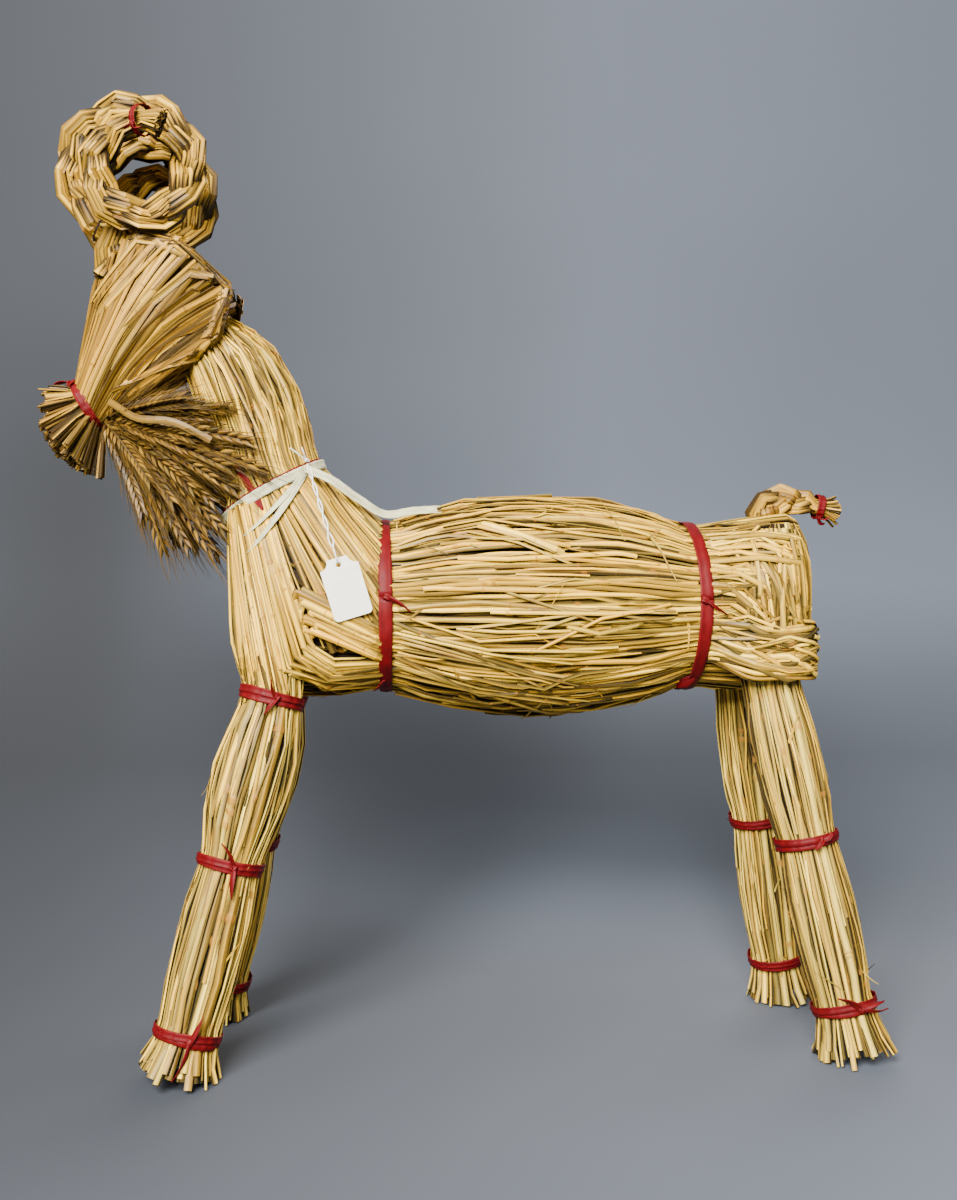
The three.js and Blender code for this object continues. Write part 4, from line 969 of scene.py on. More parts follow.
for side in (-1, 1):
    lay_side(rump_sheaf, rump_relief, side, cross_lines(46), radius=(1.1, 2.4), lift=(-1, 1.5), tone=(0, 2))
    lay_side(rump_sheaf, rump_relief, side, crown_lines(20, 0), radius=(1.6, 3.0), lift=(-0.5, 1.0),
        tone=(0.8, 2))
    lay_side(rump_sheaf, rump_relief, side, crown_lines(13, 7), radius=(1.2, 3.2), lift=(1.0, 3.5),
        tone=(0, 1.2))
    lay_side(rump_sheaf, rump_relief, side, leaf_lines(15), radius=(1.5, 3.5), lift=(2.0, 4.5),
        flat=(0.12, 0.3), tone=(0, 1.1))
    lay_side(rump_sheaf, rump_relief, side, cross_lines(30), radius=(0.8, 2.4), lift=(0.5, 3.5),
        tone=(0, 1.1))
    lay_side(rump_sheaf, rump_relief, side, arch_lines(16), radius=(1.0, 2.6), lift=(1.0, 4.5))


def rear_stalk(across, lift):
    """A stalk that turns over the rump's edge and lies down its back, behind the girth."""
    top = axis_height + rump_tall * math.sqrt(1 - (across / rear_half_width) ** 2)
    foot = across * dice.uniform(0.75, 1.05) + dice.normal(0, 3)
    back_face = rump_end + lift - 8 * (abs(across) / rear_edge) ** 4
    corners = [(248, across * 0.86, top - 6), (275, across * 0.9, top - 1.5),
        (back_face - 5 - lift, across, top + lift),
               (back_face, across, top - 11),
               (back_face + 1, (across + foot) / 2, top - 30), (back_face, foot, 314)]
    line = through(corners, np.linspace(0, 1, 16))
    back = np.linspace(-0.7, 1.6, 16).clip(0, 1)[:, None]
    return line, unit(back * [1.0, 0, 0] + (1 - back) * [0, 0.01 * across, 1.0])


for count, lift, tones in ((34, 0.0, (1, 2)), (36, 1.6, (0, 1.2)), (16, 3.2, (0, 1))):
    for across in np.linspace(-50, 50, count) + dice.normal(0, 2, count):
        line, out = rear_stalk(float(np.clip(across, -rear_edge, rear_edge)), lift + dice.uniform(-0.6, 0.8))
        rump_sheaf.lay(line[None], out[None], dice.uniform(1.2, 3.2), dice.uniform(0.3, 0.7), 6,
            dice.uniform(*tones), 0, True, 0.3)
rump_sheaf.mesh("rump_stalks", barrel_straw)

# %% [markdown]
# ## Plaits
# Horns and tail are three-strand plaits. In a plait every strand swings from edge to edge once while it
# dips under its neighbours twice, so two sine waves place it. Each strand is a flat bundle of broad
# stalks, and the swing is squared off a little because straw kinks at the edges and doesn't bend.

# %% Plait stalks along a path
def smooth_step(value, low, high):
    t = np.clip((value - low) / (high - low), 0, 1)
    return t * t * (3 - 2 * t)


def plait(sheaf, path, cycle, swing, dip, spots, stalk, scale, gather_from, gather_radius, start=0.0,
        tone=(0, 1)):
    """Stalks of a plait along a path. spots are the places of a strand's stalks in its section."""
    along = unit(np.gradient(path, axis=0))
    tall = unit(np.cross(sideways, along))
    frame_rows = np.hstack([path, tall, np.cross(along, tall), scale[:, None]])
    run = running_length(path)
    kinks = np.arange(0, run[-1], cycle / 8)
    for k in range(3):
        for a, b in spots:
            at = np.clip(np.append(kinks + dice.normal(0, cycle / 90, len(kinks)), run[-1]), 0, run[-1])
            row = np.stack([np.interp(at, run, column) for column in frame_rows.T], -1)
            middle, tall, wide, size = row[:, :3], row[:, 3:6], row[:, 6:9], row[:, 9:]
            phase = (start + 2 * np.pi * (at / cycle + k / 3))[:, None]
            wave = np.arcsin(0.995 * np.sin(phase)) / (math.pi / 2)
            gathered = smooth_step(at / run[-1], gather_from, gather_from + 0.03)[:, None]
            turn = 2 * np.pi * k / 3 + 0.6
            middle = middle + size * (swing * wave * tall + dip * np.sin(2 * phase) * wide) * (1 - gathered)
            middle += gather_radius * (math.cos(turn) * tall + math.sin(turn) * wide) * gathered
            way = unit(np.gradient(middle, axis=0))
            face = unit(wide - np.sum(wide * way, 1, keepdims=True) * way)
            side = np.cross(way, face)
            near = size * (1 - 0.42 * gathered)
            near = near * (1 + 1.1 * smooth_step(at / run[-1], 0.965, 1.0)[:, None])
            line = middle + near * (a * side + b * face) + dice.normal(0, 0.4, middle.shape) * (1 - gathered)
            fine = np.sort(np.concatenate([at, (at[1:] + at[:-1]) / 2, at[1:-1] - 1.1, at[1:-1] + 1.1]))
            dense = lambda values: np.stack([np.interp(fine, at, column) for column in values.T], -1)
            radius = stalk * dice.uniform(0.7, 1.25) * dense(size * (1 - 0.25 * gathered))[:, 0]
            mask = (np.abs((fine / run[-1] * dice.uniform(2, 4)) % 1 - 0.5) < 0.012).astype(float)
            out = np.sign(b + 0.01) * dense(face)
            # Painted shade in the middle of the plait, where a strand comes out from under its neighbours.
            shade = 0.75 * dense(np.clip(np.cos(2 * phase), 0, 1) ** 3 * (1 - gathered))[:, 0]
            sheaf.lay(dense(line)[None], out[None], radius, dice.uniform(0.35, 0.6), 6, dice.uniform(*tone),
                mask, True, 0.3, shade)


# %% [markdown]
# ## Horns
# Each horn is a fat plait that leaves the head's crown, curls round more than one and a half times and
# moves outwards as it goes, until its tied end stands in the middle of the curl.

# %% Horns
muzzle_tie = neck_top + np.array([-95, 0, -56.0])
horn_middle = muzzle_tie + np.array([38, 0, 169.0])
head_length = 137


def horn_path(side, steps=150):
    share = np.linspace(0, 1, steps)
    radius = 42 + (20 - 42) * smooth_step(share, 0.5, 0.82) + 13 * (np.clip(share - 0.84, 0, 1) / 0.16) ** 2
    angle = np.radians(258 - 580 * share)
    curl = horn_middle + radius[:, None] * np.stack([np.cos(angle), 0 * angle, np.sin(angle)], -1)
    curl[:, 1] = side * (17.5 + 44 * share + 8 * smooth_step(share, 0.93, 1.0))
    foot = muzzle_tie + np.array([0.1552, 0, 0.6417]) * head_length
    foot[1] = curl[0, 1]
    root = curl[0] + (foot - curl[0]) * np.linspace(1, 0.06, 12)[:, None]
    return through(np.concatenate([root, curl]), np.linspace(0, 1, steps))


horn_spots = [(a, b) for b in (-3.0, 3.0) for a in (-6.6, -3.3, 0, 3.3, 6.6)] + [(-8.2, 0.5), (8.2, -0.5),
    (-1.6, 4.2), (1.6, -4.2)]
horn_ends = {}
for name, side in (("left", -1), ("right", 1)):
    path = horn_path(side)
    scale = np.linspace(1.06, 0.74, len(path))
    sheaf = Sheaf()
    plait(sheaf, path, 96, 8.0, 6.4, horn_spots, 2.25, scale, 0.93, 3.6, 0.9 * side)
    core_turn = np.linspace(0, 2 * math.pi, 10, endpoint=False)[:, None]
    for_ring = lambda p: np.cos(core_turn) * unit(p - horn_middle
        - side * 40 * sideways) + np.sin(core_turn) * sideways
    sheaf.core([path[i] + 4.5 * scale[i] * for_ring(path[i]) for i in range(4, len(path) - 6, 3)])
    sheaf.mesh(f"{name}_horn_plait", horn_straw, replaces=[f"{name}_horn"])
    i = int(0.955 * len(path))
    way = unit(path[i + 1] - path[i - 1])
    tall = unit(np.cross(sideways, way))
    horn_ends[name] = [path[i], tall, np.cross(way, tall), 8.6, 8.6]
print("horn height", round(max(path[:, 2])))

# %% [markdown]
# ## Tail
# A thin plait rises from the top of the rump, arches back and ends in a small tied tuft.

# %% Tail
tail_root = np.array([barrel_length + rump_length - 21.5, 0, axis_height + rump_tall])
tail_shares = [(0.06, -0.9), (0.04, -0.1), (0.02, 0.45), (0.14, 0.8), (0.38, 0.9), (0.7, 0.82), (1, 0.64),
    (1.48, 0.4)]
tail_path = through([tail_root + np.array([42 * a, 0, 17 * b]) for a, b in tail_shares],
    np.linspace(0, 1, 80))
tail_scale = 1.58 - 0.6 * np.linspace(0, 1, 80) ** 1.6
tail_spots = [(-3.2, 1.7), (-1.0, 2.1), (1.1, 2.0), (3.3, 1.6), (-3.2, -1.7), (-1.0, -2.0), (1.1, -2.1),
    (3.2, -1.6)]
tail_sheaf = Sheaf()
plait(tail_sheaf, tail_path, 54, 4.3, 2.9, tail_spots, 2.1, tail_scale, 0.72, 2.2, tone=(0, 1))
tail_tip, tail_way = tail_path[-16], unit(tail_path[-1] - tail_path[-16])
tail_tall = unit(np.cross(sideways, tail_way))
tail_wide = np.cross(tail_way, tail_tall)
for k in range(34):
    turn, lean = dice.uniform(0, 2 * np.pi), math.sqrt(dice.uniform(0, 1))
    out = math.cos(turn) * tail_tall + math.sin(turn) * tail_wide
    length = dice.uniform(15, 20)
    share = np.linspace(0, 1, 5)[:, None]
    line = tail_tip - tail_way * 3 + out * lean * 5.4 + share * length * (tail_way
        + out * lean * 0.42 * share)
    tail_sheaf.lay(line[None], out, dice.uniform(0.9, 1.5), 0.85, 5, dice.uniform(0.2, 1), 0, True)
tail_sheaf.mesh("tail_plait_stalks", head_straw, replaces=["tail_plait"])
tail_station = [tail_tip, tail_tall, tail_wide, 7.4, 7.4]

# %% [markdown]
# ## Head
# The stalks come up inside the neck, fold over sharply at the crown and run down to the muzzle, where
# they are tied. From the side that is a hand fan of broad split stalks. The outer layer is laid first
# from the tie to the crown, then shorter stalks fill the crown between the two sides.

# %% Head fan
muzzle_along, muzzle_tall = heading(31), heading(121)
crown_points = [(-219, 563), (-214, 575), (-198, 592), (-178, 607), (-150, 599), (-124, 575), (-112, 559),
    (-117, 542), (-123, 525)]
crown_line = [np.array([x, 0, z]) for x, z in crown_points]
crown_width = [0.5, 0.76, 0.92, 1, 1.04, 1.04, 1.02, 1.02, 1.02]


def head_point(fan, run, reach):
    """A point of the head: fan from its top edge to its lower one, run from tie to crown, reach sideways."""
    edge = np.cos(np.pi * fan)[..., None]
    side = np.sin(np.pi * fan)
    tie = muzzle_tie + 17.8 * edge * muzzle_tall
    end = through(crown_line, fan)
    open_end = np.where(fan > 0.5, smooth_step(run, 0.15, 0.6), 0) * (1 - side**0.35)
    width = curve(np.linspace(0, 1, 9), np.array(crown_width)[:, None], fan)[..., 0] * 38 * (side**0.35
        + open_end)
    line = tie + (end - tie) * run[..., None]
    bow = (end - tie)[..., [2, 1, 0]] * [-1, 0, 1]
    line += bow * (np.sin(np.pi * run) * 0.09 * smooth_step(fan, 0.3, 0.7) * (1 - smooth_step(fan, 0.8, 1)))[
        ..., None]
    line[..., 1] = reach * (17.8 * side * (1 - run) + width * run ** 0.85)
    out = edge * unit(bow) + side[..., None] * np.sign(reach)[..., None] * sideways
    return line, out


def lay_head(sheaf, fans, reaches, radius, flat, start=0.0, steps=12, short=0.05, tone=(0, 1), far=1.0):
    """Stalks of the head's fan, which turn in at the crown and run back inside it."""
    count = len(fans)
    end = far - np.abs(dice.normal(0, short, count))
    run, mask = joint_shares(count, steps, start, end, 1)
    fan = np.clip(fans[:, None] + waves(run, 0.008, count) + dice.normal(0, 0.015, (count, 1)) * run, 0.001,
        0.999)
    path, out = head_point(fan, run, reaches[:, None] * np.ones_like(run))
    size = dice.uniform(*radius, count)[:, None]
    path = path - unit(out) * (size * 0.3)[..., None] + dice.normal(0, 0.4, (count, 1, 3))
    tip, way = path[:, -1], unit(path[:, -1] - path[:, -2])
    back = unit(neck_top + np.array([4, 0, 8]) - tip)
    inward = unit(back - 0.5 * unit(out[:, -1]))
    bend = [tip + way * 1.2 + inward * 1.4, tip + inward * 4 - way * 0.5, tip + inward * 7 - way * 9,
        tip + inward * 9 - way * 22]
    path = np.concatenate([path, np.stack(bend, 1)], 1)
    out = np.concatenate([out, np.repeat(out[:, -1:], 4, 1)], 1)
    mask = np.concatenate([mask, np.tile([0.25, 0.2, 0, 0], (count, 1))], 1)
    shrink = np.ones((count, path.shape[1]))
    shrink[:, :3] = [[0.62, 0.7, 0.85]]
    sheaf.lay(path, out, size * shrink, dice.uniform(*flat, (count, 1)), 6, dice.uniform(*tone, count), mask,
        False, 0.3)


head_sheaf = Sheaf()
turns = np.linspace(0, 2 * np.pi, 32, endpoint=False)
fan_of = (1 - np.cos(turns)) / 2
for_core = lambda run: head_point(fan_of, np.full(32, run), 0.74 * np.where(np.sin(turns) < 0, -1.0, 1.0))[0]
head_sheaf.core([muzzle_tie + 0.9 * (for_core(run) - muzzle_tie) for run in np.linspace(0.05, 0.98, 12)])
both = lambda count: np.where(np.arange(count) % 2, -1.0, 1.0)
spread = lambda count: np.repeat((np.arange(count // 2) + dice.uniform(-0.3, 0.3, count // 2)
    + 0.5) / (count // 2), 2)
lay_head(head_sheaf, spread(104), both(104) * 0.86, (1.5, 3.0), (0.3, 0.5), 0.0, 8, 0.04, (1, 2), 0.93)
lay_head(head_sheaf, spread(112), both(112) * 1.0, (1.3, 3.8), (0.2, 0.42), 0.0, 9, 0.05, (0, 1.0))
lay_head(head_sheaf, spread(54), both(54) * 1.05, (0.9, 3.2), (0.2, 0.5), 0.0, 9, 0.2)
lay_head(head_sheaf, dice.uniform(0.03, 0.97, 150), dice.uniform(-0.88, 0.88, 150), (1.8, 3.6), (0.35, 0.6),
    0.6, 6, 0.03)
lay_head(head_sheaf, dice.uniform(0.9, 0.995, 60), dice.uniform(-0.98, 0.98, 60), (1.4, 2.8), (0.4, 0.7), 0.0,
    8, 0.03)
lay_head(head_sheaf, dice.uniform(0.85, 0.99, 30), both(30), (1.2, 2.6), (0.4, 0.7), 0.0, 8, 0.03)

# %% [markdown]
# Some stalks don't end at the crown: they turn over its edge and run round it as broad flat bands.

# %% Folds round the crown
def head_surface(share, angle):
    fan, reach = (1 - np.cos(angle)) / 2, np.where(np.sin(angle) < 0, -1.0, 1.0)
    return head_point(fan, share * np.ones_like(fan), reach)


head_relief = side_relief([head_surface])
print("the head's relief reaches", round(head_relief.max()), "mm out")
for side in (-1, 1):
    slide = np.linspace(0, 1, 10)[:, None, None] * [[8, -16], [22, -7], [26, -16]]
    lay_side(head_sheaf, head_relief, side, banded(10, [(-216, 560), (-183, 600), (-168, 600)], (1.5, 2, 2))
        + slide,
             12, (1.4, 3.0), (0.5, 2.5), (0.2, 0.4), (0, 0.9))
    lay_side(head_sheaf, head_relief, side, banded(9, [(-182, 600), (-150, 594), (-124, 577), (-112, 560)],
        (5, 4, 3, 3)),
             12, (1.1, 2.4), (0.0, 2.5), (0.3, 0.5), (0.2, 1.1))
    lay_side(head_sheaf, head_relief, side, banded(14, [(-192, 491), (-137, 517), (-124, 536), (-116, 562)],
        (5, 4, 3, 4)),
             14, (1.6, 3.4), (0.8, 3.0), (0.22, 0.4), (0.25, 1.1), held=(0.3, 0.1))
    lay_side(head_sheaf, head_relief, side, banded(4, [(-200, 510), (-165, 553), (-143, 574), (-122, 570)],
        (3, 4, 4, 3)),
             12, (1.4, 3.0), (1.0, 2.5), (0.22, 0.4), (0.3, 1), held=(0.3, 0.1))

# %% [markdown]
# Past its tie the bundle is cut off square. The cut stalks spread, hang a little and are hollow.

# %% Muzzle brush
brush_along, brush_tall = heading(222), heading(132)
brush_sheaf = Sheaf()
brush_count = 290
turn = dice.uniform(0, 2 * np.pi, brush_count)
lean = np.sqrt(dice.uniform(0, 1, brush_count))
brush_out = np.cos(turn)[:, None] * brush_tall + np.sin(turn)[:, None] * sideways
tilt = np.radians(44 * lean + dice.normal(0, 3, brush_count))[:, None]
way = np.cos(tilt) * brush_along + np.sin(tilt) * brush_out
root = muzzle_tie + muzzle_along * 4 + brush_out * lean[:, None] * 14.5
cut_at = muzzle_tie[0] - 27 + dice.normal(0, 1.4, brush_count) + 9 * (way[:, 2] < -0.93)
reach = np.clip((root[:, 0] - cut_at) / np.maximum(-way[:, 0], 0.1), 10, 46)
share = np.linspace(0, 1, 6)[None, :, None]
path = root[:, None] + way[:, None] * share * reach[:, None, None]
path[..., 1] *= 0.86
path[:, 2:] += dice.normal(0, 0.9, (brush_count, 1, 3))
brush_sheaf.lay(path, brush_out[:, None], dice.uniform(1.0, 2.4, (brush_count, 1)),
    dice.uniform(0.3, 0.8, (brush_count, 1)), 6,
                dice.uniform(0, 1, brush_count), 0, True, 0.8)
brush_sheaf.mesh("muzzle_brush", brush_straw)
head_sheaf.mesh("head_fan", head_straw, replaces=["head_straw"])

# %% [markdown]
# ## Beard
# Rye ears with their awns are tucked under the muzzle tie and lie back along both sides of the neck. An
# ear is a thin stem with two rows of pointed grains, each ending in a long fine awn.

# %% Rye ears
# The ears' palette is brown, and darkened far below the other straw as painted shade of the dense beard.
ear_straw = straw("rye ears", (0.26, 0.14, 0.014), (0.15, 0.07, 0.005), (0.06, 0.025, 0.003),
    (0.11, 0.075, 0.012), 0.5, 0.35)
beard_root = muzzle_tie + np.array([13, 0, -11.0])
ear_rows = [(9, 0.76, 0.9), (-12, 1.02, 1), (-22, 0.78, 0.85), (-37, 0.76, 0.5), (-47, 1.03, 0.4),
    (-54, 0.74, 0.3),
            (-4, 0.88, 0.95), (-30, 0.84, 0.7), (-42, 0.9, 0.5), (-60, 0.6, 0.2), (-8, 0.62, 0.6),
            (-18, 0.82, 0.95),
            (-26, 0.62, 0.5), (-50, 0.92, 0.35), (-34, 0.55, 0.3), (3, 0.62, 0.7), (-57, 0.84, 0.15),
            (-39, 1.0, 0.75),
            (16, 0.5, 0.9), (20, 0.44, 0.6), (24, 0.4, 0.3), (13, 0.6, 0.5), (7, 0.5, 0.4), (-46, 0.66, 0.6),
            (-15, 0.5, 0.8), (-24, 0.9, 0.75), (-33, 0.7, 0.9), (-2, 0.55, 0.85), (-44, 0.5, 0.8)]
beard_reach = 146 * 0.86
beard = Sheaf()


def rye_ear(sheaf, line, size=1.0):
    """One ear along a line of 30 points: stem, two rows of grains and their awns."""
    along = unit(np.gradient(line, axis=0))
    face = unit(np.cross(along, np.array([0.2, 0.3, 1.0]) + dice.normal(0, 0.4, 3)))
    side = np.cross(along, face)
    sheaf.lay(line[None], side[None], np.linspace(1.3, 0.6, 30)[None] * size, 0.9, 5, 0.3)
    for k, i in enumerate(np.linspace(2, 28, 28).astype(int)):
        flip = 1 if k % 2 else -1
        for layer in (-1, 1):
            lean = dice.uniform(0.3, 0.5) * (1.15 - i / 45)
            way = unit(along[i] + flip * lean * side[i] + layer * 0.28 * face[i])
            t = np.linspace(0, 1, 6)[:, None]
            grain = line[i] + flip * side[i] * 1.1 * size + layer * face[i] * 1.0 + way * 11 * size * t
            width = np.array([0.5, 1.5, 1.85, 1.5, 0.85, 0.2]) * size
            sheaf.lay(grain[None], face[i], width, 0.75, 5, dice.uniform(0, 1),
                np.array([0.3, 0, 0, 0, 0.2, 0.5]))
            reach = dice.uniform(12, 27) * size
            bend = dice.normal(0, 0.09, 3)
            awn = grain[-1] + (way * 0.55 + along[i] * 0.5) * reach * t + bend * reach * t**2
            sheaf.lay(awn[None], face[i], np.linspace(0.28, 0.09, 6)[None], 1.0, 3, dice.uniform(0, 0.6))


for side in (-1, 1):
    for fall, length, out in ear_rows:
        share = np.linspace(0, 1, 30)[:, None]
        fall_now = np.radians(fall + dice.normal(0, 2) - 5 * share)
        line = beard_root + beard_reach * length * share * np.concatenate([np.cos(fall_now), 0 * share,
            np.sin(fall_now)], 1)
        line[:, 1:2] = side * (3 + out * 44 * share**0.62) + dice.normal(0, 0.6) * share
        rye_ear(beard, line, dice.uniform(0.85, 1.1))
bent_straw = np.array([[-203, -19, 483], [-174, -42, 467], [-158, -46, 466], [-126, -47, 452]])
beard.lay(through(bent_straw, np.linspace(0, 1, 14))[None], -sideways, 3.0, 0.35, 6, 0.02, 0, True)
beard.mesh("beard_rye_ears", ear_straw, replaces=["beard_ears"], slot="ryeEar")

# %% [markdown]
# ## Strands round the hind legs
# A band of long stalks is wound level round the tops of the hind legs and the rump, and holds them.

# %% Girth strands
girth_half = [(235.5, 64), (262, 69), (282, 70), (302, 68.5), (314, 62), (321.5, 47), (323.5, 24), (324, 0)]
girth_line = [np.array([x, -y, 0]) for x, y in girth_half] + [np.array([x, y, 0])
    for x, y in girth_half[-2::-1]]
girth_sheaf = Sheaf()
for layer, count, radius in ((-2.4, 22, (1.4, 2.6)), (0.0, 24, (0.9, 2.6)), (1.8, 17, (0.7, 2.2))):
    for k in range(count):
        low, high = (0, 1) if layer < 1 else sorted(dice.uniform(0, 1, 2))
        share = np.linspace(low, min(max(high, low + 0.3), 1), 60)
        line = through(girth_line, share)
        flat_out = unit(np.cross(np.gradient(line, axis=0), upward))
        level = 299 + 37 * ((k + 0.5) / count - 0.5) + dice.normal(0, 5.0, 11)
        height = np.interp(share, np.linspace(0, 1, 11), np.clip(level, 276.5 + dice.uniform(0, 3), 325))
        tucked = 1 - smooth_step(np.minimum(share, 1 - share), 0.0, 0.13)
        height += tucked * (9 - 0.25 * (height - 299))
        rim_reach = np.sqrt(tie_radius**2 - (height - axis_height) ** 2) + 0.6 * layer
        own = layer + np.interp(share, np.linspace(0, 1, 9), dice.normal(0, 1.4, 9))
        line += flat_out * (own * (1 - tucked))[:, None]
        line[:, 1] += tucked * (np.sign(line[:, 1]) * rim_reach - line[:, 1])
        line[:, 2] = height
        mask = (np.abs((share * dice.uniform(2, 3.4)) % 1 - 0.5) < 0.01).astype(float)
        girth_sheaf.lay(line[None], flat_out[None], dice.uniform(*radius), dice.uniform(0.4, 0.8), 6,
            dice.uniform(0, 1.2), mask, True, 0.3)
girth_sheaf.mesh("girth_strands", barrel_straw, replaces=["girth_straw"])

# %% [markdown]
# ## Satin ribbon
# Every waist is tied with crimson satin ribbon. A strip with a thin closed section follows the waist,
# ripples a little over the stalks, and its ends leave a small knot and curl. The weave is the material's
# work: fine threads across the ribbon, a little worn along the edges.

# %% Strips of ribbon
def strip(sheaf, path, out, width, crease=0.25, thick=0.4, tone=0.5):
    """A ribbon along a path, whose face looks out. width may change along it."""
    path = np.asarray(path, float)
    steps = len(path)
    along = unit(np.gradient(path, axis=0))
    side = unit(np.cross(along, np.broadcast_to(out, path.shape)))
    face = np.cross(side, along)
    run = running_length(path)
    across = np.linspace(-1, 1, 7)
    half = np.broadcast_to(np.asarray(width, float) / 2, (steps,))
    folds = np.cos(across * 4.2 + 0.6 * np.sin(run / 23)[:, None] + dice.uniform(0, 6))
    height = crease * folds - 0.35 * crease * across**2
    edge = 1 + 0.03 * np.sin(run / 1.3 + dice.uniform(0, 6))[:, None] * (np.abs(across) > 0.9)
    top = path[:, None] + side[:, None] * (half[:, None] * across * edge)[..., None] + face[:,
        None] * height[..., None]
    rings = np.concatenate([top, (top - face[:, None] * thick)[:, ::-1]], 1)[None, :, ::-1]
    mask = np.concatenate([np.abs(across), np.abs(across)[::-1]]) ** 6
    mask = np.broadcast_to(mask, (1, steps, 14))
    sheaf.batches.append((rings, np.full((1, steps), tone), mask, run[None],
        np.array([np.mean(width) / np.pi]), np.zeros(14)))


def rim(station, angle, out):
    """A point outside a waist, with the way out and the way round there."""
    centre, tall, wide, half_tall, half_wide = station
    c, s = np.cos(angle)[..., None], np.sin(angle)[..., None]
    out = np.broadcast_to(out, np.shape(angle))[..., None]
    return centre + tall * (half_tall + out) * c + wide * (half_wide + out) * s, unit(c * tall
        + s * wide), unit(c * wide - s * tall)


def wrap(sheaf, station, width, start=0.0, lift=0.7, slant=0.6, shift=0.0):
    angle = start + np.linspace(0, 2 * np.pi, 90)
    ripple = 0.22 * np.sin(angle * 17 + dice.uniform(0, 6)) + 0.15 * np.sin(angle * 29 + dice.uniform(0, 6))
    point, out, _ = rim(station, angle, lift + ripple)
    axis = np.cross(station[1], station[2])
    wander = shift + slant * np.sin(angle + dice.uniform(0, 6)) + 0.3 * np.sin(3 * angle + dice.uniform(0, 6))
    strip(sheaf, point + axis * wander[:, None], out, width * (1 + 0.05 * np.sin(2 * angle + start)))


def knot(sheaf, centre, out, round_way, axis, size=5.5):
    """Two short pads of ribbon drawn over each other."""
    t = np.linspace(-1, 1, 11)[:, None]
    for way, wide, rise in ((axis + 0.45 * round_way, 0.9, 0.5), (round_way - 0.3 * axis, 0.7, 0.0)):
        arch = np.sqrt(np.clip(1 - (t / 1.04) ** 2, 0, 1))
        line = centre + unit(way) * t * size * 0.55 + out * (arch * size * 0.34 + rise - 0.6)
        strip(sheaf, line, unit(out + 0.02 * axis), size * wide * (1 - 0.22 * (1 - t[:, 0] ** 2)), 0.35)


def tail_end(sheaf, start, out, way, length, width=4.0, curl=1.6, twist=0.9):
    """A loose end of ribbon from a knot, narrow at the knot and cut to a point."""
    t = np.linspace(0, 1, 18)[:, None]
    line = start + way * length * t + out * (curl * np.sin(np.pi * t * 0.9))
    line += np.cross(way, out) * dice.uniform(-2, 2) * np.sin(np.pi * t)
    turn = (0.5 + twist * t) * dice.choice([-1, 1])
    face = out * np.cos(turn) + np.cross(way, out) * np.sin(turn)
    shape = curve([0, 0.12, 0.4, 0.75, 1], [[0.45], [0.8], [1], [0.75], [0.12]], t[:, 0])[:, 0]
    strip(sheaf, line, face, width * shape, 0.3)


def tied(sheaf, station, angle, ends, width=9.0, size=5.5, double=False, slant=0.7, thin=0.5):
    """A tied ribbon. An end is its turn from the knot, 0 along the bundle and 90 round it, and its length."""
    start = math.radians(angle)
    if double:
        wrap(sheaf, station, width * 0.66, start, 2.3, slant, -width * 0.16)
        wrap(sheaf, station, width * 0.6, start + 1, 2.9, slant, width * 0.18)
    else:
        wrap(sheaf, station, width, start, 2.2, slant)
    centre, out, round_way = (v[0] for v in rim(station, np.array([start]), 3.0))
    axis = np.cross(station[1], station[2])
    knot(sheaf, centre, out, round_way, axis, size)
    for turn, length in ends:
        way = axis * math.cos(math.radians(turn)) + round_way * math.sin(math.radians(turn))
        tail_end(sheaf, centre + out * 0.8, out, way, length, width * thin)


# %% [markdown]
# The satin's own group needs only fine threads, soft creases and pale fraying along the edges, which the
# strip marks as it marks a joint on a stalk. The creases are also painted into the colour, lighter and
# darker, as painted shade and sheen. A cloth shader's sheen would suit velvet better than this cheap shiny
# ribbon, so the plain shader keeps it, with little gloss.

# %% Satin
satin_group, satin_in, satin_out = node_group(
    "satin weave",
    [("Thread", "Color", (0.45, 0.01, 0.02, 1)), ("Worn", "Color", (0.6, 0.1, 0.1, 1)),
    ("Wear", "Float", 0.5)],
    [("Color", "Color"), ("Roughness", "Float"), ("Height", "Float")],
)
make = nodes_of(satin_group)
weave_map = make("UVMap", uv_map="fibre").outputs["UV"]
edge = make("Attribute", attribute_name="joint").outputs["Fac"]
weft_at = make("Mapping", {"Vector": weave_map, "Scale": (350, 5200, 1)})
weft = make("TexNoise", {"Vector": weft_at.outputs[0], "Scale": 1.0, "Detail": 2.0}).outputs["Fac"]
crush_at = make("Mapping", {"Vector": weave_map, "Scale": (260, 90, 1)})
crush = make("TexNoise", {"Vector": crush_at.outputs[0], "Scale": 1.0, "Detail": 3.0}).outputs["Fac"]
# Painted shade and sheen of the creases: the thread's colour lighter and darker along the crush noise.
shade = make("MapRange", {0: crush, 1: 0.3, 2: 0.7, 3: 0.72, 4: 1.2}).outputs[0]
grey = make("CombineColor", {0: shade, 1: shade, 2: shade}).outputs[0]
thread = blend(make, 1.0, satin_in.outputs["Thread"], grey, "MULTIPLY")
fray = number(make, "MULTIPLY", number(make, "MULTIPLY", edge, weft), satin_in.outputs["Wear"])
satin_group.links.new(blend(make, fray, thread, satin_in.outputs["Worn"]), satin_out.inputs["Color"])
rough = make("MapRange", {0: weft, 1: 0.3, 2: 0.7, 3: 0.46, 4: 0.64}).outputs[0]
satin_group.links.new(rough, satin_out.inputs["Roughness"])
height = number(make, "ADD", number(make, "MULTIPLY", weft, 0.35), crush)
satin_group.links.new(height, satin_out.inputs["Height"])
print("satin group:", len(satin_group.nodes), "nodes")


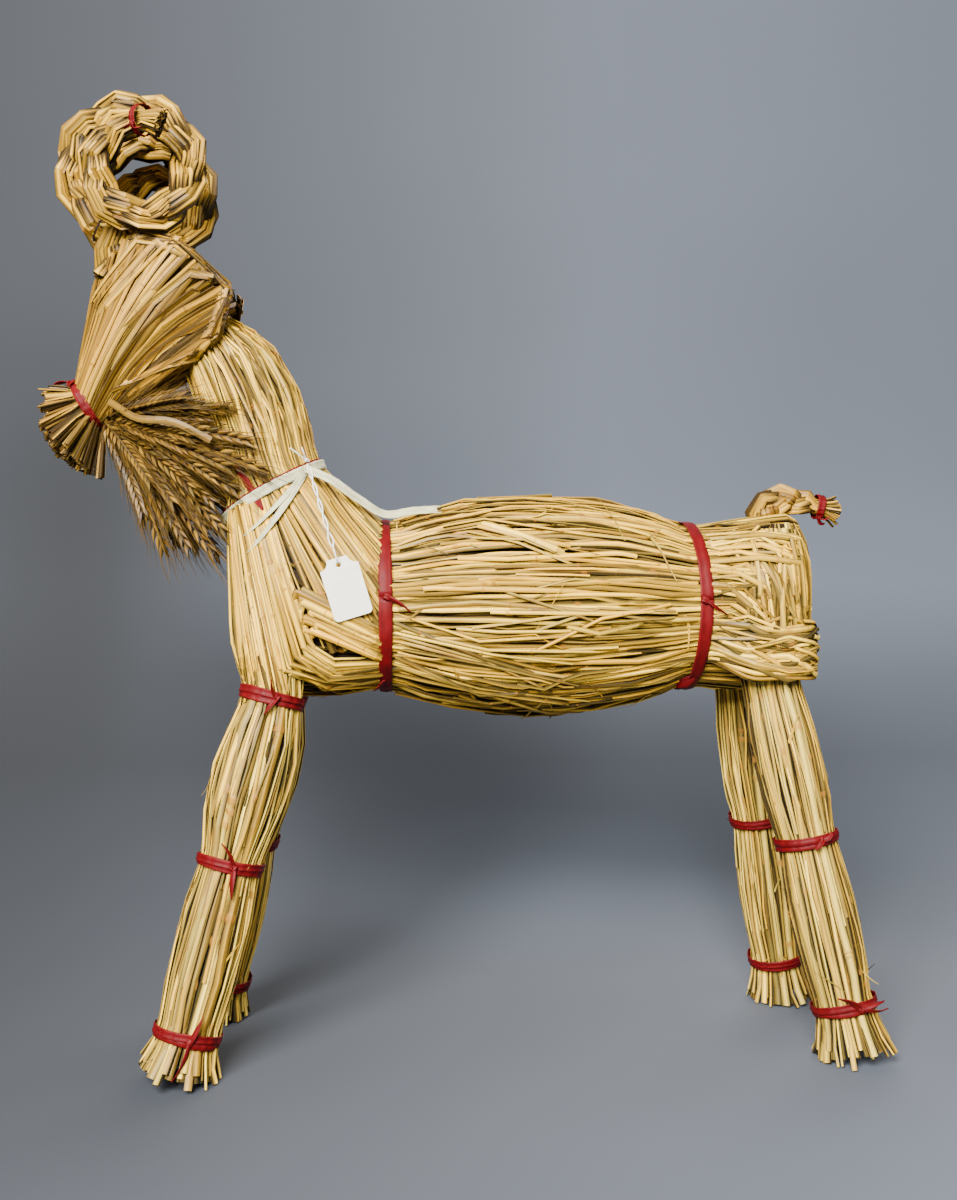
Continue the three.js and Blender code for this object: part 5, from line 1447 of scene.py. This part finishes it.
def satin(name, thread, worn, wear):
    """A satin of one colour of thread, with another where its edges are worn."""
    material, _, shader = new_material(name)
    weave = place_group(shader, satin_group, {"Thread": (*thread, 1), "Worn": (*worn, 1), "Wear": wear})
    dress_shader(shader, weave["Color"], weave["Roughness"], weave["Height"], 0.0003, 0.5)
    shader.inputs["Specular IOR Level"].default_value = 0.16
    return material


red_satin = satin("crimson satin", (0.1, 0.0008, 0.002), (0.19, 0.01, 0.012), 0.5)
pale_satin = satin("pale green satin", (0.48, 0.46, 0.27), (0.6, 0.56, 0.38), 0.4)

# %% [markdown]
# Each ribbon is wound in the groove that it has drawn into the straw, and knotted where the photograph
# shows the knot. The ends are listed with their turn and length, because no two knots fall the same way.
# One function ties them all.

# %% Ribbons on the body, the neck, the head and the legs
def barrel_tie(x):
    return [np.array([x, 0, axis_height]), upward, sideways, tie_radius, tie_radius]


def neck_tie_at(run):
    return [neck_tie + neck_along * run, neck_tall, sideways, 38.5, 38.5]


def ribbon_piece(name, make_ribbon, material=red_satin, slot="redRibbon"):
    sheaf = Sheaf()
    make_ribbon(sheaf)
    return sheaf.mesh(name + "_satin", material, replaces=[name], slot=slot, smooth=True)


def body_ribbon(x, angle, free_way):
    def make_ribbon(sheaf):
        tied(sheaf, barrel_tie(x), angle, [(215, 20)], 9.5, 5.5, slant=1.6, thin=0.36)
        start, out, round_way = (v[0] for v in rim(barrel_tie(x), np.array([math.radians(-146)]), 2.4))
        tail_end(sheaf, start, out, unit(-round_way + free_way), 18, 8.5, 1, 0.3)

    return make_ribbon


def neck_band(angle, run, out):
    """A point round the neck's tie, lower at the throat, with the way out there."""
    drop = run - 6.0 * (1 - np.cos(angle))
    return neck.surface(low_tie + (drop + 4) / neck.length, angle, -out)


def neck_wrap(sheaf, run, width, out):
    angle = np.linspace(0, 2 * np.pi, 90) - 0.9
    ripple = 0.2 * np.sin(angle * 17 + run) + 0.15 * np.sin(angle * 29)
    strip(sheaf, *neck_band(angle, run, out + ripple + 0.9 * (1 - np.cos(angle))), width)


def red_neck_ribbon(sheaf):
    neck_wrap(sheaf, 1.4, 6.2, 2.2)
    low_end = np.linspace([-110, 437], [-89, 402], 12)
    t = np.linspace(0, 1, 12)
    line, out = on_side(chest_relief, -1, low_end, 3.4 - 2.6 * np.exp(-(((t - 0.62) / 0.15) ** 2)))
    strip(sheaf, line, out, 5.5 * curve([0, 0.8, 1], [[1], [0.9], [0.3]], t)[:, 0])


ribbon_piece("front_body_ribbon", body_ribbon(0, -84, np.array([-0.6, 0, 0])))
ribbon_piece("rear_body_ribbon", body_ribbon(barrel_length, -86, np.array([-0.8, 0, 0])))
muzzle_station = [muzzle_tie, muzzle_tall, sideways, 17.8, 17.8]
ribbon_piece("muzzle_ribbon", lambda s: tied(s, muzzle_station, -25, [(52, 25), (-70, 10)], 7.5, 4.5, True))
ribbon_piece("neck_ribbon", red_neck_ribbon)
ribbon_piece("tail_ribbon", lambda s: tied(s, tail_station, -30, [(25, 8), (-40, 9)], 6, 3.4))
for name, station in horn_ends.items():
    angle = -60 if name == "left" else 60
    ribbon_piece(f"{name}_horn_ribbon", lambda s: tied(s, station, angle, [(20, 9), (160, 8)], 5, 3.4))
leg_ends = {
    "front_hip": [(-30, 14), (205, 15)], "front_knee": [(-40, 20), (172, 21)],
    "front_ankle": [(12, 19), (192, 28)],
    "rear_knee": [(60, 9), (235, 10)], "rear_ankle": [(-55, 21), (102, 21), (84, 19)],
}
for name, leg in legs.items():
    for tie_name, station in zip(("hip", "knee", "ankle"), leg.stations):
        ends = leg_ends.get(name.split("_")[0] + "_" + tie_name)
        if ends:
            angle = -80 if name.endswith("left") else 80
            ribbon_piece(f"{name}_{tie_name}_ribbon", lambda s: tied(s, station, angle, ends, 9, 4.8, True))

# %% [markdown]
# ## The pale ribbon
# A narrower green-cream ribbon ties the neck again. Two ends hang down the chest, and a long one lies
# along the back and over the front red ribbon. The print it has is left off.

# %% Pale ribbon
def pale_ribbon(sheaf):
    neck_wrap(sheaf, -0.5, 7.2, 3.2)
    centre, out = (v[0] for v in neck_band(np.array([math.radians(-50)]), -0.5, 4.2))
    knot(sheaf, centre, out, unit(np.cross(out, neck_along)), neck_along, 6)
    train = np.array([[centre[0], -38, centre[2]], [-40, -41, 425], [-21, -38, 412], [2, -31, 400.5],
        [22, -25, 404], [42, -22, 405.5]])
    line = through(train, np.linspace(0, 1, 60))
    strip(sheaf, line, np.array([0.12, -0.8, 0.6]), 7.2, 0.3)
    for foot, wide in (((-103, 383), 4.6), ((-100, 371), 5.2)):
        t = np.linspace(0, 1, 20)
        spots = centre[[0, 2]] + (np.array(foot) - centre[[0, 2]]) * t[:,
            None] + np.array([3.0, 0]) * np.sin(np.pi * t)[:, None]
        hang, hang_out = on_side(chest_relief, -1, spots, 3.0 + 3 * np.sin(np.pi * t))
        shape = curve([0, 0.1, 0.5, 0.85, 1], [[0.6], [0.9], [1], [0.7], [0.1]], t)[:, 0]
        strip(sheaf, hang, hang_out + np.array([0, 0, 0.5]), wide * shape, 0.5)


ribbon_piece("pale_ribbon", pale_ribbon, pale_satin, "paleRibbon")

# %% [markdown]
# ## Wires and filling
# The steel wires and the loose filling are inside, but for the wire loops round the horns and the wire's
# end on the rump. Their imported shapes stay, with a finish of their own.

# %% Steel and filling
def plain_finish(name, stops, scale, rough, metallic=0.0, bump=0.0002, stretch=(1, 1, 1)):
    """A finish whose colour, roughness and bump all come from one noise."""
    material, make, shader = new_material(name)
    place = make("Mapping", {"Vector": make("TexCoord").outputs["Object"], "Scale": stretch})
    grain = make("TexNoise", {"Vector": place.outputs[0], "Scale": scale, "Detail": 4.0}).outputs["Fac"]
    spread = make("MapRange", {0: grain, 1: 0.3, 2: 0.7, 3: rough - 0.1, 4: rough + 0.1}).outputs[0]
    dress_shader(shader, ramp(make, grain, stops), spread, grain, bump, 0.5)
    shader.inputs["Metallic"].default_value = metallic
    return material


wire_steel = plain_finish("dark wire", [(0.3, (0.05, 0.045, 0.04)), (0.7, (0.16, 0.13, 0.11))], 900, 0.42,
    1.0)
filling = plain_finish("loose filling", [(0.35, (0.12, 0.07, 0.025)), (0.7, (0.34, 0.21, 0.08))], 120, 0.8, 0,
    0.001, (0.2, 3, 3))
for name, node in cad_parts.items():
    if name.endswith("wire"):
        node.data.materials.clear()
        node.data.materials.append(wire_steel)
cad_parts["barrel_filling"].data.materials.clear()
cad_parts["barrel_filling"].data.materials.append(filling)

# %% [markdown]
# ## String and tag
# A thin twisted cotton string is knotted on the pale ribbon. Its two strands turn round each other down
# to a loop, and the loop goes through the hole of a small card tag, which is left bare.

# %% String
cotton = plain_finish("cotton string", [(0.3, (0.62, 0.6, 0.54)), (0.7, (0.85, 0.83, 0.77))], 1500, 0.85)
hinge_way = heading(17)
hang_way = np.cross(sideways, hinge_way)
out_way = -sideways
string_knot = np.array([-58.31844, -34.30789, 439.64729])
loop_foot = string_knot + hang_way * 80 + out_way * 35
loop_radius = 5.6
loop_middle = loop_foot - hang_way * loop_radius
pair_end = loop_middle - hang_way * loop_radius
pair_way = unit(pair_end - string_knot)
pair_start = string_knot + pair_way * 3.3


def string_strand(side):
    share = np.linspace(0, 1, 16)
    turn = 2 * np.pi * 2.5 * (1 - share)
    spread = side * (1.1 + (loop_radius * math.sin(math.radians(22)) - 1.1) * share**8)
    middle = pair_start + (pair_end - pair_start) * share[:, None]
    return middle + (spread * np.cos(turn))[:, None] * out_way + (spread * np.sin(turn))[:, None] * hinge_way


turn = np.radians(np.linspace(22, 338, 17))[:, None]
loop = loop_middle + out_way * loop_radius * np.sin(turn) - hang_way * loop_radius * np.cos(turn)
string_route = np.concatenate([string_strand(1), loop, string_strand(-1)[::-1]])
string_line = through(string_route, np.linspace(0, 1, 260))


def twisted(line, radius, pitch=3.2, sides=12):
    """A two-ply string: its section is pinched in the middle and turns along the line."""
    along = unit(np.gradient(line, axis=0))
    side = unit(np.cross(along, hang_way + 0.3 * sideways + 0.2 * hinge_way))
    up = np.cross(along, side)
    run = running_length(line)
    angle = 2 * np.pi * np.arange(sides) / sides
    lobes = radius * (0.74 + 0.26 * np.abs(np.cos(angle[None] - 2 * np.pi * run[:, None] / pitch)))
    rings = line[:, None] + lobes[..., None] * (np.cos(angle)[:, None] * side[:, None]
        + np.sin(angle)[:, None] * up[:, None])
    return rings[None], run[None]


def string_batch(sheaf, line, radius):
    """Adds a length of string to a sheaf."""
    rings, run = twisted(line, radius)
    steps = rings.shape[1]
    sheaf.batches.append((rings, np.full((1, steps), 0.5), np.zeros((1, steps)), run, np.array([radius]),
        np.zeros(12)))


string_sheaf = Sheaf()
string_batch(string_sheaf, string_line, 0.6)
string_piece = string_sheaf.mesh("cotton_string", cotton, body="string", replaces=["tag_string"],
    slot="cotton", smooth=True)
knot_sheaf = Sheaf()
t = np.linspace(0, 2 * np.pi, 60)
trefoil = np.stack([np.sin(t) + 2 * np.sin(2 * t), np.cos(t) - 2 * np.cos(2 * t), -1.2 * np.sin(3 * t)], -1)
string_batch(knot_sheaf, string_knot + 0.62 * trefoil, 0.6)
for lean, length in ((-0.9, 13), (-0.3, 11)):
    s = np.linspace(0, 1, 18)[:, None]
    end = string_knot + length * s * np.array([lean, -0.5, 0.9 + 0.3 * lean]) + np.array([0, -1.5,
        0]) * np.sin(3 * s)
    string_batch(knot_sheaf, end, 0.55)
knot_sheaf.mesh("cotton_string_knot", cotton, replaces=["string_knot"], slot="cotton", smooth=True)

# %% [markdown]
# The tag is a stock card with clipped shoulders and a punched hole. Its outline is drawn once, and rings
# of points run from the hole out to it, so the hole is a real one and the card can bow a little. What is
# written on the real one is left off.

# %% Tag
card = plain_finish("tag card", [(0.3, (0.74, 0.7, 0.58)), (0.7, (0.83, 0.8, 0.7))], 260, 0.62, 0, 0.0001)
tag_hole = loop_foot + hang_way * 1.0
tag_width, tag_length, shoulder, hole_radius, hole_inset = 28, 44, 6.5, 1.9, 4.8
tag_half, tag_foot, corner_radius, card_half = tag_width / 2, tag_length - hole_inset, 3.5, 0.35
bow = np.linspace(0, math.pi / 2, 9)
scallop = lambda side: [
    (side * (tag_half - shoulder + shoulder * (1 - math.cos(a))), -hole_inset + shoulder * math.sin(a))
    for a in bow
]
corner = lambda side: [
    (side * (tag_half - corner_radius + corner_radius * math.cos(a)),
     tag_foot - corner_radius + corner_radius * math.sin(a))
    for a in bow
]
outline = scallop(1) + [(tag_half, y) for y in np.linspace(4, 33, 14)] + corner(1)
outline += [(x, tag_foot) for x in np.linspace(10, -10, 9)]
outline += corner(-1)[::-1] + [(-tag_half, y) for y in np.linspace(33, 4, 14)] + scallop(-1)[::-1]
outline += [(x, -hole_inset) for x in np.linspace(-5, 5, 5)]
outline = np.array(outline)
count, layers = len(outline), 9
hole = hole_radius * unit(outline)
grid = hole[:, None] + (outline - hole)[:, None] * np.linspace(0, 1, layers)[None, :, None]
down_card = np.clip(grid[..., 1] / 39, 0, 1)
bend = 0.9 * (grid[..., 0] / tag_half) ** 2 * down_card - 0.5 * down_card**2
place = tag_hole + grid[..., :1] * hinge_way + grid[..., 1:] * hang_way
faces = [place + out_way * (bend[..., None] + h) for h in (card_half, -card_half)]
tag_points = np.concatenate([faces[0], faces[1][:, ::-1]], 1)
index = np.arange(count * 2 * layers).reshape(count, 2 * layers)
quads = np.stack([index, np.roll(index, -1, 0), np.roll(np.roll(index, -1, 0), -1, 1), np.roll(index, -1, 1)],
    -1).reshape(-1, 4)
flat = np.concatenate([grid, grid[:, ::-1]], 1)
flat_uv = flat.reshape(-1, 2)[quads.ravel()] / 1000
back_face = np.repeat((np.arange(2 * layers) >= layers)[None], count, 0).reshape(-1)[quads[:, 0]]
packed = flat_uv / [0.06, 0.05] + 0.25 + np.repeat(back_face, 4)[:, None] * [0.5, 0]
tag_piece = build_piece(
    "card_tag", card, "tag", ["hang_tag"], tag_points.reshape(-1, 3), quads.ravel(),
    4 * np.arange(len(quads)),
    np.full(len(quads), 4), {}, {"fibre": flat_uv, "OFBake": packed}, smooth=False)

# %% [markdown]
# ## Floor, light and world
# The goat stands on grey paper that curves up into a wall behind it. A window's soft light comes from the
# front, above and left, and two weak lights open the shadows. The paper lets light and sight through from
# behind, so the goat can be looked at from all sides.

# %% Floor, light and world
world = bpy.data.worlds.new("studio")
bpy.context.scene.world = world
world.use_nodes = True
world.node_tree.nodes["Background"].inputs[0].default_value = (0.68, 0.69, 0.72, 1)
world.node_tree.nodes["Background"].inputs[1].default_value = 0.36


def backdrop_material():
    """Grey paper with the pools of light and shade that the photograph's backdrop has, painted into its
    colour.
    """
    material, make, shader = new_material("grey paper backdrop")
    place = make("TexCoord").outputs["Object"]
    grain = make("TexNoise", {"Vector": place, "Scale": 3.0, "Detail": 2.0}).outputs["Fac"]
    color = ramp(make, grain, [(0.3, (0.096, 0.111, 0.142)), (0.7, (0.104, 0.12, 0.153))])
    x, y, z = make("SeparateXYZ", {0: place}).outputs
    # Painted shade: the paper darker towards the left.
    across = make("MapRange", {0: x, 1: -0.55, 2: 0.25}).outputs[0]
    left = ramp(make, across, [(at, (v, v, v))
        for at, v in ((0.0, 0.27), (0.2, 0.35), (0.55, 0.575), (0.75, 0.755), (1.0, 1.0))])
    # Painted light and shade: the floor lighter in front of the goat than under and behind it, and the wall a
    # little darker high up.
    front = make("MapRange", {0: y, 1: -0.35, 2: 0.0, 3: 0.78, 4: 0.6},
        interpolation_type="SMOOTHSTEP").outputs[0]
    high = make("MapRange", {0: z, 1: 0.3, 2: 0.75, 3: 0.0, 4: -0.12},
        interpolation_type="SMOOTHSTEP").outputs[0]
    shade = number(make, "MULTIPLY", left, number(make, "ADD", front, high))
    # Painted shade in a band where the paper curves up, and painted light on the wall above it.
    curve_shade = ramp(make, z, [(at, (v, v, v))
        for at, v in ((0.0, 1.0), (0.05, 0.88), (0.15, 0.66), (0.25, 0.92), (0.36, 1.41))])
    shade = number(make, "MULTIPLY", shade, curve_shade)
    # Painted shadows behind the belly and on the left, and a painted pool of light on the floor.
    for middle, size, value in (
            ((0.12, 0.5, 0.2), (1.7, 0, 7.0), 0.66), ((-0.42, 0.6, 0.4), (4.0, 0, 2.4), 0.42),
            ((0.1, 0.33, 0), (3.3, 6.0, 0), 1.75)):
        shifted = tuple(-m * s for m, s in zip(middle, size))
        away = make("Mapping", {"Vector": place, "Location": shifted, "Scale": size})
        away = make("VectorMath", {0: away.outputs[0]}, operation="LENGTH").outputs["Value"]
        pool = make("MapRange", {0: away, 1: 0.0, 2: 1.0, 3: value, 4: 1.0},
            interpolation_type="SMOOTHSTEP").outputs[0]
        shade = number(make, "MULTIPLY", shade, pool)
    grey = make("CombineColor", {0: shade, 1: shade, 2: shade}).outputs[0]
    material.node_tree.links.new(blend(make, 1.0, color, grey, "MULTIPLY"), shader.inputs["Base Color"])
    shader.inputs["Roughness"].default_value = 0.85
    unseen = number(make, "MAXIMUM", make("NewGeometry").outputs["Backfacing"],
        make("LightPath").outputs["Is Shadow Ray"])
    material.node_tree.links.new(number(make, "SUBTRACT", 1.0, unseen), shader.inputs["Alpha"])
    return material


sweep_radius, floor_depth, half_width = 0.5, 0.65, 12.0
profile = [(-8.0, 0.0), (floor_depth - sweep_radius, 0.0)]
profile += [
    (floor_depth - sweep_radius + sweep_radius * math.sin(a), sweep_radius - sweep_radius * math.cos(a))
    for a in np.linspace(0.05, math.pi / 2, 24)
]
profile.append((floor_depth, 4.0))
points = [(x, y, z) for y, z in profile for x in (-half_width, half_width)]
faces = [(2 * i, 2 * i + 1, 2 * i + 3, 2 * i + 2) for i in range(len(profile) - 1)]
sweep = bpy.data.meshes.new("backdrop")
sweep.from_pydata(points, [], faces)
sweep.polygons.foreach_set("use_smooth", [True] * len(faces))
sweep.materials.append(backdrop_material())
backdrop = bpy.data.objects.new("backdrop", sweep)
bpy.context.scene.collection.objects.link(backdrop)
backdrop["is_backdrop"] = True


def soft_light(name, place, aim, size, power, color):
    """A rectangle of light that looks at a point."""
    data = bpy.data.lights.new(name, "AREA")
    data.shape = "RECTANGLE"
    data.size, data.size_y = size
    data.energy = power
    data.color = color
    lamp = bpy.data.objects.new(name, data)
    lamp.location = place
    lamp.rotation_euler = (Vector(aim) - Vector(place)).to_track_quat("-Z", "Y").to_euler()
    bpy.context.scene.collection.objects.link(lamp)


soft_light("window", (-0.8, -2.1, 1.65), (0, 0, 0.35), (1.4, 1.4), 375, (1, 0.98, 0.94))
soft_light("fill", (1.6, -1.4, 1.1), (0, 0, 0.3), (1.2, 1.2), 12, (0.95, 0.97, 1))
soft_light("back fill", (0.9, 2.3, 1.3), (0, 0, 0.35), (2.2, 2.2), 120, (1, 0.98, 0.95))

# %% [markdown]
# ## Finish
# The box of the imported solids and the box of the dressed goat are set side by side, and the first is
# printed.

# %% Finish
{"solids": solids_box, "dressed": [list(corner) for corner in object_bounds()]}
print("solids", solids_box)
